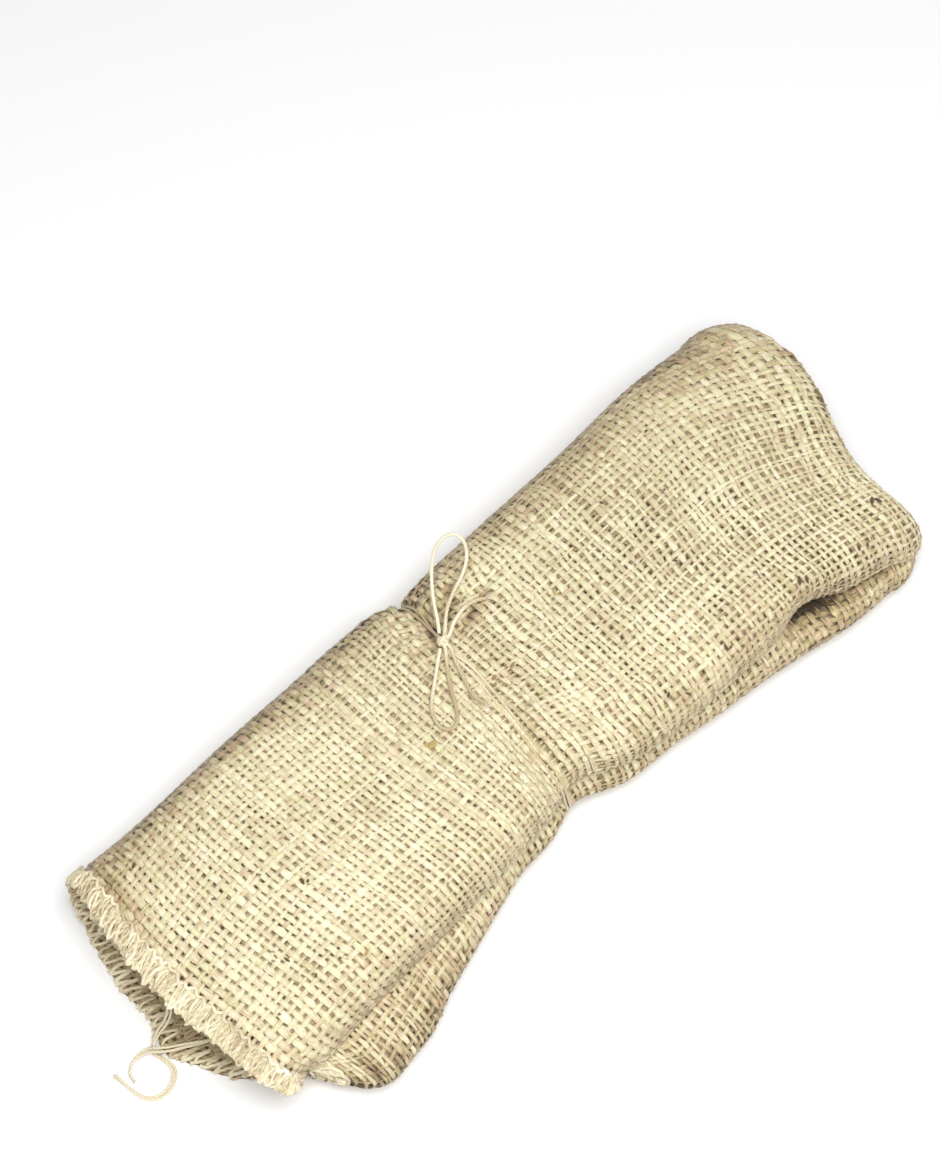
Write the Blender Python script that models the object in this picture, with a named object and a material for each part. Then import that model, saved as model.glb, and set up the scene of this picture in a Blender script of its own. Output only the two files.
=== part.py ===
"""A hessian sack, folded once across its length, rolled up and tied with twine.

The sack lies on its flat underside. +X runs along the roll from its open, overlocked end to its
folded end, +Y towards the closed side of the roll and +Z up. The origin is under the middle of
the roll. The cloth is wound from a free flap on top, over the +Y side, under the roll, up the
-Y side as a lobe, and back in under the flap.
"""
import bpy
import numpy as np

MM = 0.001

# Driving dimensions, in millimetres.
SHEET_THICKNESS = 4.0       # four plies of hessian, pressed together
LEAF_THICKNESS = 1.6        # two plies, where the open end parts
LEAF_RECESS = 7.0           # how far the inner leaf ends inside the outer one
SLOT_DEPTH = 38.0           # how far in the two leaves lie apart
SEAM_BAND = 8.0             # width of the overlocked edge
SEAM_SWELL = 0.5            # how much the stitches thicken it, on each face
FOLD_SWELL = 1.4            # how much the folded end bulges, on each face
FOLD_REACH = 16.0           # length of that bulge
END_REACH = 150.0           # how far in the slanted ends are felt
TWINE_DIAMETER = 1.3
THREAD_DIAMETER = 1.5
TIE_ALONG = 153.0           # the tie, measured from the open end
TIE_SPACING = 1.9           # between the two turns of the tie
TIE_CLEARANCE = 0.5         # between the tie and the cloth
TIE_SLANT = 0.13            # how far the tie runs along the roll for each mm across its top
TIE_KINK = (-2.6, 9.0)      # how far the knot draws the turns along, and over what width
TIE_PINCH = 1.6             # how far it draws in the sides
TIE_REACH = 8.0             # how far along the roll that reaches
KNOT_SIZE = (2.5, 2.3, 1.7)     # half sizes, along the bow, across it and up
KNOT_PLACE = (-8.9, 26.6, 48.35)
BOW_TURN = 46.0             # the bow's line from +X, in degrees

PROFILE_SAMPLES = 64
BODY_SAMPLES = 11
OUTER_TURN = 0.72           # share of the profile that is on the outside of the roll

# The roll's section as a control polygon, from the flap's free edge to the innermost end.
# side: the STATIONS column that "across" is a share of; up: share of the height;
# open_end, fold_end: how far the cloth there ends inside the longest ply, in millimetres;
# tie: how far the tie presses it down, in millimetres.
PROFILE = (
    # name            side    across   up     open_end  fold_end  tie
    ("flap_edge",     "flap",  1.00,  0.600,   14.0,      8.0,    4.0),
    ("flap_side",     "flap",  1.00,  0.800,    8.0,      7.5,    7.5),
    ("flap_shoulder", "flap",  0.90,  0.985,    6.0,      8.5,   10.0),
    ("crown_right",   "flap",  0.45,  1.020,    7.0,     14.0,    4.0),
    ("crown",         "flap",  0.00,  1.020,    7.0,     -4.0,    1.0),
    ("crown_left",    "left",  0.50,  1.010,    7.0,     -9.0,    1.0),
    ("left_shoulder", "left",  0.98,  0.960,    8.0,     -3.0,    3.0),
    ("left_side",     "left",  1.10,  0.480,    6.0,      4.0,    0.0),
    ("left_foot",     "left",  0.96,  0.000,    7.0,      8.0,   -2.8),
    ("floor_left",    "left",  0.50,  0.000,    4.0,     10.0,   -2.8),
    ("floor",         "lobe",  0.00,  0.000,    0.0,     12.0,   -2.8),
    ("floor_right",   "lobe",  0.45,  0.000,    2.0,     14.0,   -2.8),
    ("lobe_foot",     "lobe",  0.92,  0.000,   15.0,     12.0,   -2.8),
    ("lobe_side",     "lobe",  1.12,  0.300,   27.0,      8.0,   -0.5),
    ("lobe_top",      "lobe",  0.90,  0.530,   24.0,      4.0,    4.0),
    ("tuck_right",    "flap",  0.62,  0.540,   16.0,     12.0,    4.0),
    ("tuck",          "flap",  0.00,  0.700,   10.0,     16.0,    2.0),
    ("tuck_left",     "left",  0.45,  0.760,   10.0,     16.0,    2.0),
    ("core_left",     "left",  0.82,  0.620,   10.0,     16.0,    0.0),
    ("core_foot",     "left",  0.70,  0.190,   10.0,     16.0,   -2.4),
    ("core_floor",    "flap",  0.00,  0.160,   10.0,     16.0,   -2.4),
    ("core_end",      "flap",  0.20,  0.200,   12.0,     18.0,   -2.4),
)

# The roll along its length, in millimetres: half widths from the roll's middle line.
STATIONS = (
    # along   left   flap   lobe   height
    (0.0,     40.5,  66.0,  60.0,  42.0),
    (30.0,    39.5,  62.0,  70.0,  45.0),
    (52.0,    40.5,  60.0,  72.5,  47.0),
    (78.0,    41.0,  58.5,  64.5,  48.0),
    (105.0,   41.5,  56.5,  57.0,  48.0),
    (135.0,   43.0,  53.0,  51.5,  46.5),
    (157.0,   41.0,  49.0,  48.0,  45.0),
    (172.0,   42.0,  55.0,  53.0,  45.5),
    (200.0,   42.5,  58.5,  55.5,  47.5),
    (235.0,   43.5,  58.5,  57.5,  48.5),
    (275.0,   46.5,  61.5,  63.0,  47.5),
    (314.0,   45.5,  64.5,  62.5,  43.0),
)
ROLL_LENGTH = STATIONS[-1][0]

# Routes of the free cords, in millimetres from the origin.
ROUTES = {
    "tie_loop_upper": (
        # along    across  up
        (-7.9,      29.4,    48.3),
        (-5.5,      32.7,    49.6),
        (-2.1,      38.0,    50.8),
        (1.7,       43.0,    51.3),
        (6.2,       48.0,    51.0),
        (11.6,      52.6,    50.0),
        (17.2,      55.1,    48.6),
        (21.7,      54.5,    47.6),
        (23.1,      51.5,    47.0),
        (21.6,      47.5,    47.0),
        (17.6,      43.3,    47.6),
        (12.2,      40.0,    48.2),
        (5.9,       37.3,    48.6),
        (-0.1,      33.9,    48.8),
        (-6.5,      28.3,    48.4),
    ),
    "tie_end_short": (
        # along    across  up
        (-5.8,      26.7,    48.2),
        (-1.4,      29.1,    48.4),
        (4.2,       30.6,    48.4),
        (9.1,       30.4,    48.0),
        (13.2,      28.5,    47.6),
    ),
    "tie_loop_lower": (
        # along    across  up
        (-11.6,     25.1,    48.0),
        (-16.1,     21.6,    48.0),
        (-22.1,     16.7,    48.4),
        (-26.9,     12.8,    48.8),
        (-30.4,     8.8,     49.0),
        (-31.8,     4.3,     49.0),
        (-30.1,     0.7,     48.9),
        (-26.8,     -1.0,    48.7),
        (-22.7,     -0.2,    48.4),
        (-19.4,     4.5,     48.2),
        (-16.9,     10.9,    48.0),
        (-13.6,     17.8,    47.8),
        (-10.5,     23.6,    47.9),
    ),
    "tie_end_long": (
        # along    across  up
        (-8.7,      23.3,    48.0),
        (-11.0,     18.0,    47.7),
        (-13.5,     11.6,    47.7),
        (-15.5,     5.2,     47.8),
        (-14.7,     -0.2,    47.8),
    ),
    "seam_thread_long": (
        # along    across  up
        (-144.0,    2.3,     37.3),
        (-148.5,    2.3,     36.5),
        (-152.4,    2.2,     31.5),
        (-154.2,    2.0,     22.5),
        (-155.4,    1.9,     15.0),
        (-157.7,    2.0,     10.3),
        (-160.5,    2.4,     6.8),
        (-163.3,    1.9,     3.3),
        (-165.1,    -0.2,    1.3),
        (-164.2,    -3.7,    0.9),
        (-163.9,    -7.9,    0.9),
        (-166.2,    -11.0,   0.9),
        (-170.4,    -12.8,   0.9),
        (-174.6,    -12.1,   0.9),
        (-177.4,    -9.4,    0.9),
        (-178.6,    -4.8,    0.9),
        (-179.1,    -0.5,    0.9),
        (-179.4,    2.7,     0.9),
    ),
    "seam_thread_short": (
        # along    across  up
        (-138.0,    -16.3,   5.3),
        (-145.0,    -13.6,   5.8),
        (-152.0,    -10.0,   6.4),
        (-157.4,    -6.7,    6.4),
        (-161.6,    -4.1,    6.2),
        (-164.2,    -1.8,    5.6),
        (-166.3,    0.9,     4.0),
        (-169.5,    2.5,     1.9),
        (-172.9,    2.2,     0.9),
        (-175.5,    -0.1,    0.9),
        (-176.1,    -2.9,    0.9),
    ),
}
CORD_DIAMETERS = {name: THREAD_DIAMETER if "thread" in name else TWINE_DIAMETER for name in ROUTES}
ORIGIN_ALONG = 161.0        # the origin, from the open end
ORIGIN_ACROSS = 13.2        # and from the roll's middle line


def spline_weights(count, shares):
    """Weights of a clamped cubic B-spline with that many control points, one row a share."""
    degree = 3
    inner = np.linspace(0.0, 1.0, count - degree + 1)
    knots = np.concatenate([np.zeros(degree), inner, np.ones(degree)])
    at = np.clip(np.asarray(shares, float), 0.0, 1.0 - 1e-9)[:, None]
    weights = ((at >= knots[None, :-1]) & (at < knots[None, 1:])).astype(float)
    for order in range(1, degree + 1):
        kept = len(knots) - 1 - order
        rise = knots[order:order + kept] - knots[:kept]
        fall = knots[order + 1:order + 1 + kept] - knots[1:1 + kept]
        up = np.where(rise > 0, (at - knots[:kept]) / np.where(rise > 0, rise, 1), 0)
        down = (knots[order + 1:order + 1 + kept] - at) / np.where(fall > 0, fall, 1)
        down = np.where(fall > 0, down, 0)
        weights = up * weights[:, :kept] + down * weights[:, 1:kept + 1]
    return weights


def station_column(along, column):
    """One column of STATIONS as a smooth curve through its rows."""
    table = np.array(STATIONS)
    place, value = table[:, 0], table[:, column]
    slope = np.gradient(value, place)
    row = np.clip(np.searchsorted(place, along) - 1, 0, len(place) - 2)
    step = place[row + 1] - place[row]
    share = np.clip((along - place[row]) / step, 0.0, 1.0)
    start = (2 * share**3 - 3 * share**2 + 1) * value[row]
    end = (3 * share**2 - 2 * share**3) * value[row + 1]
    bend = (share**3 - 2 * share**2 + share) * slope[row] + (share**3 - share**2) * slope[row + 1]
    return start + end + step * bend


def tie_shift(across, up):
    """How far the slanted tie lies from TIE_ALONG: nothing underneath, most on top."""
    return TIE_SLANT * (across - ORIGIN_ACROSS) * up


def tie_pull(along, shift):
    """Share of the tie's pull that is felt at a place along the roll."""
    return np.exp(-((along - TIE_ALONG - shift) / TIE_REACH)**2)


def centreline(along, profile_share):
    """The middle of the sheet, in mm: an array [profile sample, station, (x, y, z)]."""
    inset = SHEET_THICKNESS / 2 + TIE_PINCH * tie_pull(along, 0.0)
    half = {"left": inset - station_column(along, 1),
            "flap": station_column(along, 2) - inset,
            "lobe": station_column(along, 3) - inset}
    height = station_column(along, 4) - SHEET_THICKNESS
    near_open = np.clip(1 - along / END_REACH, 0, 1)**2
    near_fold = np.clip(1 - (ROLL_LENGTH - along) / END_REACH, 0, 1)**2
    rows = []
    for _, side, across, up, open_end, fold_end, tie in PROFILE:
        x = along + open_end * near_open - fold_end * near_fold - ORIGIN_ALONG
        y = ORIGIN_ACROSS - across * half[side]
        z = SHEET_THICKNESS / 2 + up * height - tie * tie_pull(along, tie_shift(y, min(up, 1)))
        rows.append(np.stack([x, y, z], axis=-1))
    weights = spline_weights(len(PROFILE), profile_share)
    return np.einsum("pc,csk->psk", weights, np.array(rows))


def outward(points):
    """Unit normals of the sheet in the plane of each section, pointing out of the roll."""
    run = np.gradient(points[:, :, 1:], axis=0)
    normal = np.zeros_like(points)
    normal[:, :, 1] = -run[:, :, 1]
    normal[:, :, 2] = run[:, :, 0]
    return normal / np.linalg.norm(normal, axis=2, keepdims=True)


def stations():
    """Places along the roll: close together at the seam band and at the fold, even between."""
    open_end = np.array([0.0, 1.5, SEAM_BAND - 1.0, SEAM_BAND + 1.5, 18.0, 28.0, SLOT_DEPTH])
    before_tie = np.linspace(SLOT_DEPTH, TIE_ALONG - 2.1 * TIE_REACH, BODY_SAMPLES)[1:]
    tie = TIE_ALONG + TIE_REACH * np.linspace(-1.4, 1.4, 9)
    after_tie = np.linspace(TIE_ALONG + 2.1 * TIE_REACH, ROLL_LENGTH - FOLD_REACH, BODY_SAMPLES)
    fold_end = ROLL_LENGTH - FOLD_REACH * np.array([0.65, 0.35, 0.14, 0.03])
    return np.concatenate([open_end, before_tie, tie, after_tie, fold_end])


def half_thickness(along):
    """Half the sheet's thickness: swollen by the overlock, and by the fold that it rounds off."""
    into_band = np.clip((SEAM_BAND + 1.5 - along) / 2.5, 0, 1)
    half = SHEET_THICKNESS / 2 + SEAM_SWELL * into_band - 0.6 * (along < 0.5)
    past = np.clip((along - (ROLL_LENGTH - FOLD_REACH)) / FOLD_REACH, 0, 1)
    bulge = SHEET_THICKNESS / 2 + FOLD_SWELL * np.sin(np.pi * np.clip(past / 0.9, 0, 1))
    rounded = bulge * np.sqrt(np.clip(1 - past**6, 0, 1))
    return np.where(past > 0, rounded, half)


def sack_loops():
    """One closed lengthwise loop of the sheet for each profile sample: [sample, point, xyz]."""
    along = stations()
    profile_share = np.linspace(0, 1, PROFILE_SAMPLES)
    middle = centreline(along, profile_share)
    normal = outward(middle)
    taper = np.ones(PROFILE_SAMPLES)
    taper[[0, -1]] = 0.7
    half = half_thickness(along)[None, :] * taper[:, None]
    outer = middle + normal * half[:, :, None]
    inner = middle - normal * half[:, :, None]

    slot_along = along[along <= SLOT_DEPTH]
    slots = len(slot_along)
    leaf_faces = (SHEET_THICKNESS / 2 - LEAF_THICKNESS) * taper[:, None, None]
    outer_leaf = middle[:, :slots] + normal[:, :slots] * leaf_faces
    inner_leaf = middle[:, :slots] - normal[:, :slots] * leaf_faces
    recess = LEAF_RECESS * np.clip(1 - slot_along / SLOT_DEPTH, 0, 1)
    inner_leaf[:, :, 0] += recess
    inner[:, :slots, 0] += recess

    tip = middle[:, -1:] + np.array([0.5, 0.0, 0.0])
    slot_foot = middle[:, slots - 1:slots]
    loops = [outer, tip, inner[:, ::-1], inner_leaf[:, :-1], slot_foot, outer_leaf[:, -2::-1]]
    points = np.concatenate(loops, axis=1)
    points[:, :, 2] = np.maximum(points[:, :, 2], 0.0)
    return points


def cap_quads(first, count, leaf, flip):
    """Quads closing one profile end of the sheet: its two leaves, then its pressed body."""
    quads = []
    tip = count
    for step in range(count - 1):
        far = 2 * count - step
        if step < leaf - 1:
            inner_slot = 2 * count + 1 + step
            outer_slot = 2 * count + 2 * leaf - 1 - step
            last = step == leaf - 2
            foot = 2 * count + leaf
            quads.append((step, outer_slot, foot if last else outer_slot - 1, step + 1))
            quads.append((inner_slot, far, far - 1, foot if last else inner_slot + 1))
            if last:
                quads.append((step + 1, foot, far - 1))
        else:
            quads.append((step, far, far - 1, step + 1))
    quads.append((count - 1, count + 1, tip))
    faces = [tuple(first + corner for corner in quad) for quad in quads]
    return faces if flip else [face[::-1] for face in faces]


def sack_mesh():
    """The rolled sheet as one closed mesh."""
    loops = sack_loops()
    samples, size, _ = loops.shape
    faces = []
    for sample in range(samples - 1):
        for point in range(size):
            follow = (point + 1) % size
            here, there = sample * size, (sample + 1) * size
            faces.append((here + point, there + point, there + follow, here + follow))
    count = len(stations())
    leaf = int(np.sum(stations() <= SLOT_DEPTH))
    faces += cap_quads(0, count, leaf, False)
    faces += cap_quads((samples - 1) * size, count, leaf, True)
    mesh = bpy.data.meshes.new("sack")
    mesh.from_pydata((loops.reshape(-1, 3) * MM).tolist(), [], [face[::-1] for face in faces])
    return mesh


def outer_hull(points):
    """The points of a closed outline that a taut string round it would touch, in order."""
    ordered = sorted(points, key=lambda point: (point[1], point[2]))

    def half_hull(candidates):
        kept = []
        for point in candidates:
            while len(kept) > 1:
                ahead = kept[-1] - kept[-2]
                turn = point - kept[-2]
                if ahead[1] * turn[2] - ahead[2] * turn[1] > 0:
                    break
                kept.pop()
            kept.append(point)
        return kept[:-1]

    return np.array(half_hull(ordered) + half_hull(ordered[::-1]))


def tie_turn(offset):
    """The route of one turn of the tie, that far along from its middle."""
    shares = np.linspace(0.0, OUTER_TURN, 160)
    section = centreline(np.array([TIE_ALONG]), shares)[:, 0]
    top = section[:, 2].max()
    draw, reach = TIE_KINK
    on_top = section[:, 2] > 0.8 * top
    kink = draw * np.exp(-((section[:, 1] - KNOT_PLACE[1]) / reach)**2) * on_top
    along = TIE_ALONG + offset + tie_shift(section[:, 1], section[:, 2] / top) + kink
    each = np.arange(len(shares))
    sheet = centreline(along, shares)
    lift = SHEET_THICKNESS / 2 + TIE_CLEARANCE + TWINE_DIAMETER / 2
    touching = outer_hull(sheet[each, each] + outward(sheet)[each, each] * lift)
    closed = np.vstack([touching, touching[:1]])
    return even_points(closed, 2.7 * TWINE_DIAMETER)[:-1]


def even_points(points, spacing):
    """Points an even distance apart along a chain of points."""
    steps = np.linalg.norm(np.diff(points, axis=0), axis=1)
    distance = np.concatenate([[0], np.cumsum(steps)])
    count = max(3, round(distance[-1] / spacing) + 1)
    places = np.linspace(0, distance[-1], count)
    return np.stack([np.interp(places, distance, points[:, axis]) for axis in range(3)], axis=1)


def smooth_route(route, spacing):
    """Even points on a smooth curve through a route's own points."""
    through = np.array(route)
    padded = np.vstack([2 * through[0] - through[1], through, 2 * through[-1] - through[-2]])
    share = np.linspace(0, 1, 12, endpoint=False)[:, None]
    runs = []
    for before, start, end, after in zip(padded, padded[1:], padded[2:], padded[3:]):
        runs.append(0.5 * (2 * start + (end - before) * share
                           + (2 * before - 5 * start + 4 * end - after) * share**2
                           + (3 * start - before - 3 * end + after) * share**3))
    return even_points(np.vstack(runs + [through[-1:]]), spacing)


def cord_curve(name, points, diameter, closed):
    """A round cord with capped ends, or a closed ring of it."""
    curve = bpy.data.curves.new(name, "CURVE")
    curve.dimensions = "3D"
    curve.bevel_depth = diameter / 2 * MM
    curve.bevel_resolution = 2
    curve.use_fill_caps = not closed
    spline = curve.splines.new("POLY")
    spline.points.add(len(points) - 1)
    for slot, point in zip(spline.points, points * MM):
        slot.co = (*point, 1.0)
    spline.use_cyclic_u = closed
    return curve


def knot_mesh():
    """The bow's knot: a small barrel of two turns of twine."""
    rings, sides = 11, 14
    along = np.sin(np.linspace(-np.pi / 2, np.pi / 2, rings))[1:-1, None]
    round_about = np.linspace(0, 2 * np.pi, sides, endpoint=False)[None, :]
    swell = np.sqrt(1 - along**4) * (0.93 + 0.07 * np.cos(2 * np.pi * along))
    long_half, wide_half, high_half = KNOT_SIZE
    barrel = np.stack([along * long_half + 0 * round_about,
                       swell * wide_half * np.cos(round_about),
                       swell * high_half * np.sin(round_about)], axis=-1).reshape(-1, 3)
    ends = np.array([[-long_half, 0, 0], [long_half, 0, 0]])
    faces = []
    for ring in range(rings - 3):
        for side in range(sides):
            follow = (side + 1) % sides
            here, there = ring * sides, (ring + 1) * sides
            faces.append((here + side, here + follow, there + follow, there + side))
    first_end, last_end = len(barrel), len(barrel) + 1
    last_ring = (rings - 3) * sides
    for side in range(sides):
        follow = (side + 1) % sides
        faces.append((first_end, follow, side))
        faces.append((last_end, last_ring + side, last_ring + follow))
    mesh = bpy.data.meshes.new("tie_knot")
    mesh.from_pydata((np.vstack([barrel, ends]) * MM).tolist(), [], faces)
    mesh.shade_smooth()
    return mesh


def material(name, colour, roughness):
    """A plain dielectric material."""
    made = bpy.data.materials.new(name)
    made.use_nodes = True
    shader = made.node_tree.nodes["Principled BSDF"]
    shader.inputs["Base Color"].default_value = (*colour, 1.0)
    shader.inputs["Roughness"].default_value = roughness
    shader.inputs["Metallic"].default_value = 0.0
    return made


def add_object(name, data, finish):
    """Link one named object with its material."""
    made = bpy.data.objects.new(name, data)
    made.data.materials.append(finish)
    bpy.context.collection.objects.link(made)
    return made


def build():
    """The sack, its tie and the sewing thread left on its seam."""
    hessian = material("hessian", (0.56, 0.44, 0.27), 0.95)
    twine = material("cotton_twine", (0.80, 0.70, 0.48), 0.8)
    thread = material("sewing_thread", (0.78, 0.68, 0.48), 0.85)
    add_object("sack", sack_mesh(), hessian)
    for name, side in (("tie_turn_front", -0.5), ("tie_turn_back", 0.5)):
        route = tie_turn(side * TIE_SPACING)
        add_object(name, cord_curve(name, route, TWINE_DIAMETER, True), twine)
    knot = add_object("tie_knot", knot_mesh(), twine)
    knot.location = np.array(KNOT_PLACE) * MM
    knot.rotation_euler.z = np.radians(BOW_TURN)
    for name, route in ROUTES.items():
        diameter = CORD_DIAMETERS[name]
        points = smooth_route(route, 2.7 * diameter)
        finish = thread if "thread" in name else twine
        add_object(name, cord_curve(name, points, diameter, False), finish)


for old in list(bpy.data.objects):
    bpy.data.objects.remove(old, do_unlink=True)
build()
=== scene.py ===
import bpy
import numpy as np
from mathutils import Matrix, Vector


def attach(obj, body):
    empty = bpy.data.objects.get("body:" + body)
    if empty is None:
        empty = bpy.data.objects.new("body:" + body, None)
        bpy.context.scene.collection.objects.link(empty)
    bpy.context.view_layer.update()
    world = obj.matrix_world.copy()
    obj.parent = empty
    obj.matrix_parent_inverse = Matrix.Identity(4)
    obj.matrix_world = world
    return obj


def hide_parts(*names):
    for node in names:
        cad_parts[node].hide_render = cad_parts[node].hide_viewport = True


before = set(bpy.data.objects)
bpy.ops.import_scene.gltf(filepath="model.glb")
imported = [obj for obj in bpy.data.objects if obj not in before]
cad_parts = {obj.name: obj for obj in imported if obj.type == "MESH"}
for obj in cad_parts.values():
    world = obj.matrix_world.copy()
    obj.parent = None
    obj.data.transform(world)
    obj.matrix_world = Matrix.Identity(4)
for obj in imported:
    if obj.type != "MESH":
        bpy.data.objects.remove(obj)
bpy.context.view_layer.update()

# ---------------------------------------------------------------------------- camera
# A long lens, high over the lobe side of the open end, so that the roll rises across the view
# from the lower left to the upper right.
CAMERA_AZIMUTH = np.radians(-44.0)
CAMERA_ELEVATION = np.radians(63.0)
CAMERA_DISTANCE = 1.15
CAMERA_TARGET = Vector((-0.0040, -0.0038, 0.025))
CAMERA_LENS = 104.9                 # millimetres, for a sensor 36 mm high
FRAME_MIDDLE = (-0.0158, 0.0452)    # right of the target and above it, at its distance

right = Vector((np.cos(CAMERA_AZIMUTH), np.sin(CAMERA_AZIMUTH), 0.0))
back = Vector((np.sin(CAMERA_AZIMUTH) * np.cos(CAMERA_ELEVATION),
               -np.cos(CAMERA_AZIMUTH) * np.cos(CAMERA_ELEVATION),
               np.sin(CAMERA_ELEVATION)))
above = back.cross(right)
eye = CAMERA_TARGET + back * CAMERA_DISTANCE
middle = CAMERA_TARGET + right * FRAME_MIDDLE[0] + above * FRAME_MIDDLE[1]
towards = (eye - middle).normalized()
level = (right - towards * right.dot(towards)).normalized()
upright = towards.cross(level)
camera = bpy.data.objects.new("camera", bpy.data.cameras.new("camera"))
camera.data.lens = CAMERA_LENS
camera.data.clip_start, camera.data.clip_end = 0.1, 20.0
camera.matrix_world = Matrix.Translation(eye) @ Matrix((level, upright, towards)).transposed().to_4x4()
bpy.context.collection.objects.link(camera)
bpy.context.scene.camera = camera

# ---------------------------------------------------------------------------- bow of twine
# Two lengths of soft three-ply cotton twine. Each makes one loop of the bow, passes through the
# knot and ends as a frayed tail, so the bow lies loose on the cloth with two free ends.
TWINE_DIAMETER = 0.0013
TWINE_LAY = 0.0052                  # length of one turn of its three strands
TWINE_RING = 0.0004
KNOT_PLACE = (-0.0089, 0.0266, 0.04835)
UPPER_LOOP_AND_LONG_END = (
    # along     across   up
    (-0.0079,   0.0294,  0.0483),
    (-0.0055,   0.0327,  0.0496),
    (-0.0021,   0.0380,  0.0508),
    (0.0017,    0.0430,  0.0513),
    (0.0062,    0.0480,  0.0510),
    (0.0116,    0.0526,  0.0500),
    (0.0172,    0.0551,  0.0486),
    (0.0217,    0.0545,  0.0476),
    (0.0231,    0.0515,  0.0470),
    (0.0216,    0.0475,  0.0470),
    (0.0176,    0.0433,  0.0476),
    (0.0122,    0.0400,  0.0482),
    (0.0059,    0.0373,  0.0486),
    (-0.0001,   0.0339,  0.0488),
    (-0.0065,   0.0283,  0.0484),
    KNOT_PLACE,
    (-0.0087,   0.0233,  0.0480),
    (-0.0110,   0.0180,  0.0477),
    (-0.0135,   0.0116,  0.0477),
    (-0.0155,   0.0052,  0.0478),
    (-0.0147,   -0.0002, 0.0478),
)
LOWER_LOOP_AND_SHORT_END = (
    # along     across   up
    (-0.0116,   0.0251,  0.0480),
    (-0.0161,   0.0216,  0.0480),
    (-0.0221,   0.0167,  0.0484),
    (-0.0269,   0.0128,  0.0488),
    (-0.0304,   0.0088,  0.0490),
    (-0.0318,   0.0043,  0.0490),
    (-0.0308,   0.0014,  0.0489),
    (-0.0282,   0.0004,  0.0488),
    (-0.0252,   0.0024,  0.0485),
    (-0.0220,   0.0070,  0.0483),
    (-0.0188,   0.0127,  0.0481),
    (-0.0145,   0.0186,  0.0478),
    (-0.0105,   0.0236,  0.0479),
    KNOT_PLACE,
    (-0.0058,   0.0267,  0.0482),
    (-0.0014,   0.0291,  0.0484),
    (0.0042,    0.0306,  0.0484),
    (0.0091,    0.0304,  0.0480),
    (0.0132,    0.0285,  0.0476),
)


def unit(vectors):
    """Each vector divided by its own length."""
    return vectors / np.maximum(np.linalg.norm(vectors, axis=-1, keepdims=True), 1e-12)


def even_points(chain, spacing):
    """Points an even distance apart along a chain of points."""
    steps = np.linalg.norm(np.diff(chain, axis=0), axis=1)
    walked = np.concatenate([[0.0], np.cumsum(steps)])
    places = np.linspace(0.0, walked[-1], max(4, round(walked[-1] / spacing) + 1))
    return np.stack([np.interp(places, walked, chain[:, axis]) for axis in range(3)], axis=1)


def smooth_route(route, spacing):
    """A cubic through each route point, heading there from the point before to the one after."""
    through = np.array(route)
    padded = np.vstack([2 * through[0] - through[1], through, 2 * through[-1] - through[-2]])
    before, start, end, after = (padded[k:len(padded) - 3 + k, None] for k in range(4))
    share = np.linspace(0.0, 1.0, 12, endpoint=False)[None, :, None]
    runs = 0.5 * (2 * start + (end - before) * share
                  + (2 * before - 5 * start + 4 * end - after) * share**2
                  + (3 * start - before - 3 * end + after) * share**3)
    return even_points(np.vstack([runs.reshape(-1, 3), through[-1:]]), spacing)


def length_along(path):
    """Distance walked to each point of a path, or of an array of paths."""
    steps = np.linalg.norm(np.diff(path, axis=-2), axis=-1)
    return np.concatenate([np.zeros_like(steps[..., :1]), np.cumsum(steps, axis=-1)], axis=-1)


def square_frame(path):
    """Two directions square to a path: each point takes the last one's, turned only as it must."""
    ahead = unit(np.gradient(path, axis=0))
    side = np.empty_like(path)
    carried = np.cross(ahead[0], (0.31, 0.23, 0.92))
    for step, direction in enumerate(ahead):
        carried = carried - direction * (carried @ direction)
        carried = carried / np.linalg.norm(carried)
        side[step] = carried
    return side, np.cross(ahead, side)


def tube_part(rings, tone_and_shade, walked=None):
    """Closed tubes from an array [tube, ring, side, xyz], with each point's tone and painted shade.

    The walls join each ring to the next, and a fan of triangles closes each end. The thread map
    runs along a tube in metres, and across it from its own number to the next."""
    tubes, count, sides, _ = rings.shape
    walked = length_along(rings.mean(axis=2)) if walked is None else walked
    start = (np.arange(tubes)[:, None] * count + np.arange(count))[..., None] * sides
    here, follow = np.arange(sides), (np.arange(sides) + 1) % sides
    lower, upper = start[:, :-1], start[:, 1:]
    quads = np.stack([lower + here, lower + follow, upper + follow, upper + here], axis=-1)
    turn = np.arange(sides) / sides
    number = np.arange(tubes)[:, None, None]
    near, far = number + turn + 0 * lower, number + turn + 1.0 / sides + 0 * lower
    low_u, high_u = walked[:, :-1, None] + 0 * near, walked[:, 1:, None] + 0 * near
    wall_map = np.stack([np.stack([low_u, near], -1), np.stack([low_u, far], -1),
                         np.stack([high_u, far], -1), np.stack([high_u, near], -1)], axis=-2)
    middles = np.stack([rings[:, 0].mean(axis=1), rings[:, -1].mean(axis=1)], axis=1)
    hub = tubes * count * sides + 2 * np.arange(tubes)[:, None]
    first, last = start[:, 0], start[:, -1]
    fans = np.stack([np.stack([hub + 0 * here, first + follow, first + here], axis=-1),
                     np.stack([hub + 1 + 0 * here, last + here, last + follow], axis=-1)], axis=1)
    fan_u = np.stack([walked[:, 0], walked[:, -1]], axis=1)[:, :, None, None]
    fan_v = (number + turn)[..., None] + np.array([0.0, 0.0, 1.0 / sides])
    fan_map = np.stack([fan_u + 0 * fan_v, fan_v + 0 * fan_u], axis=-1)
    point_tones_and_shade = np.concatenate([np.broadcast_to(tone_and_shade, rings.shape[:3]).ravel(),
                             np.full(2 * tubes, float(np.mean(tone_and_shade)))])
    return {"points": np.concatenate([rings.reshape(-1, 3), middles.reshape(-1, 3)]),
            "quads": quads.reshape(-1, 4), "fans": fans.reshape(-1, 3),
            "quad_map": wall_map.reshape(-1, 4, 2), "fan_map": fan_map.reshape(-1, 3, 2),
            "tone_and_shade": point_tones_and_shade, "rows": tubes}


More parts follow.
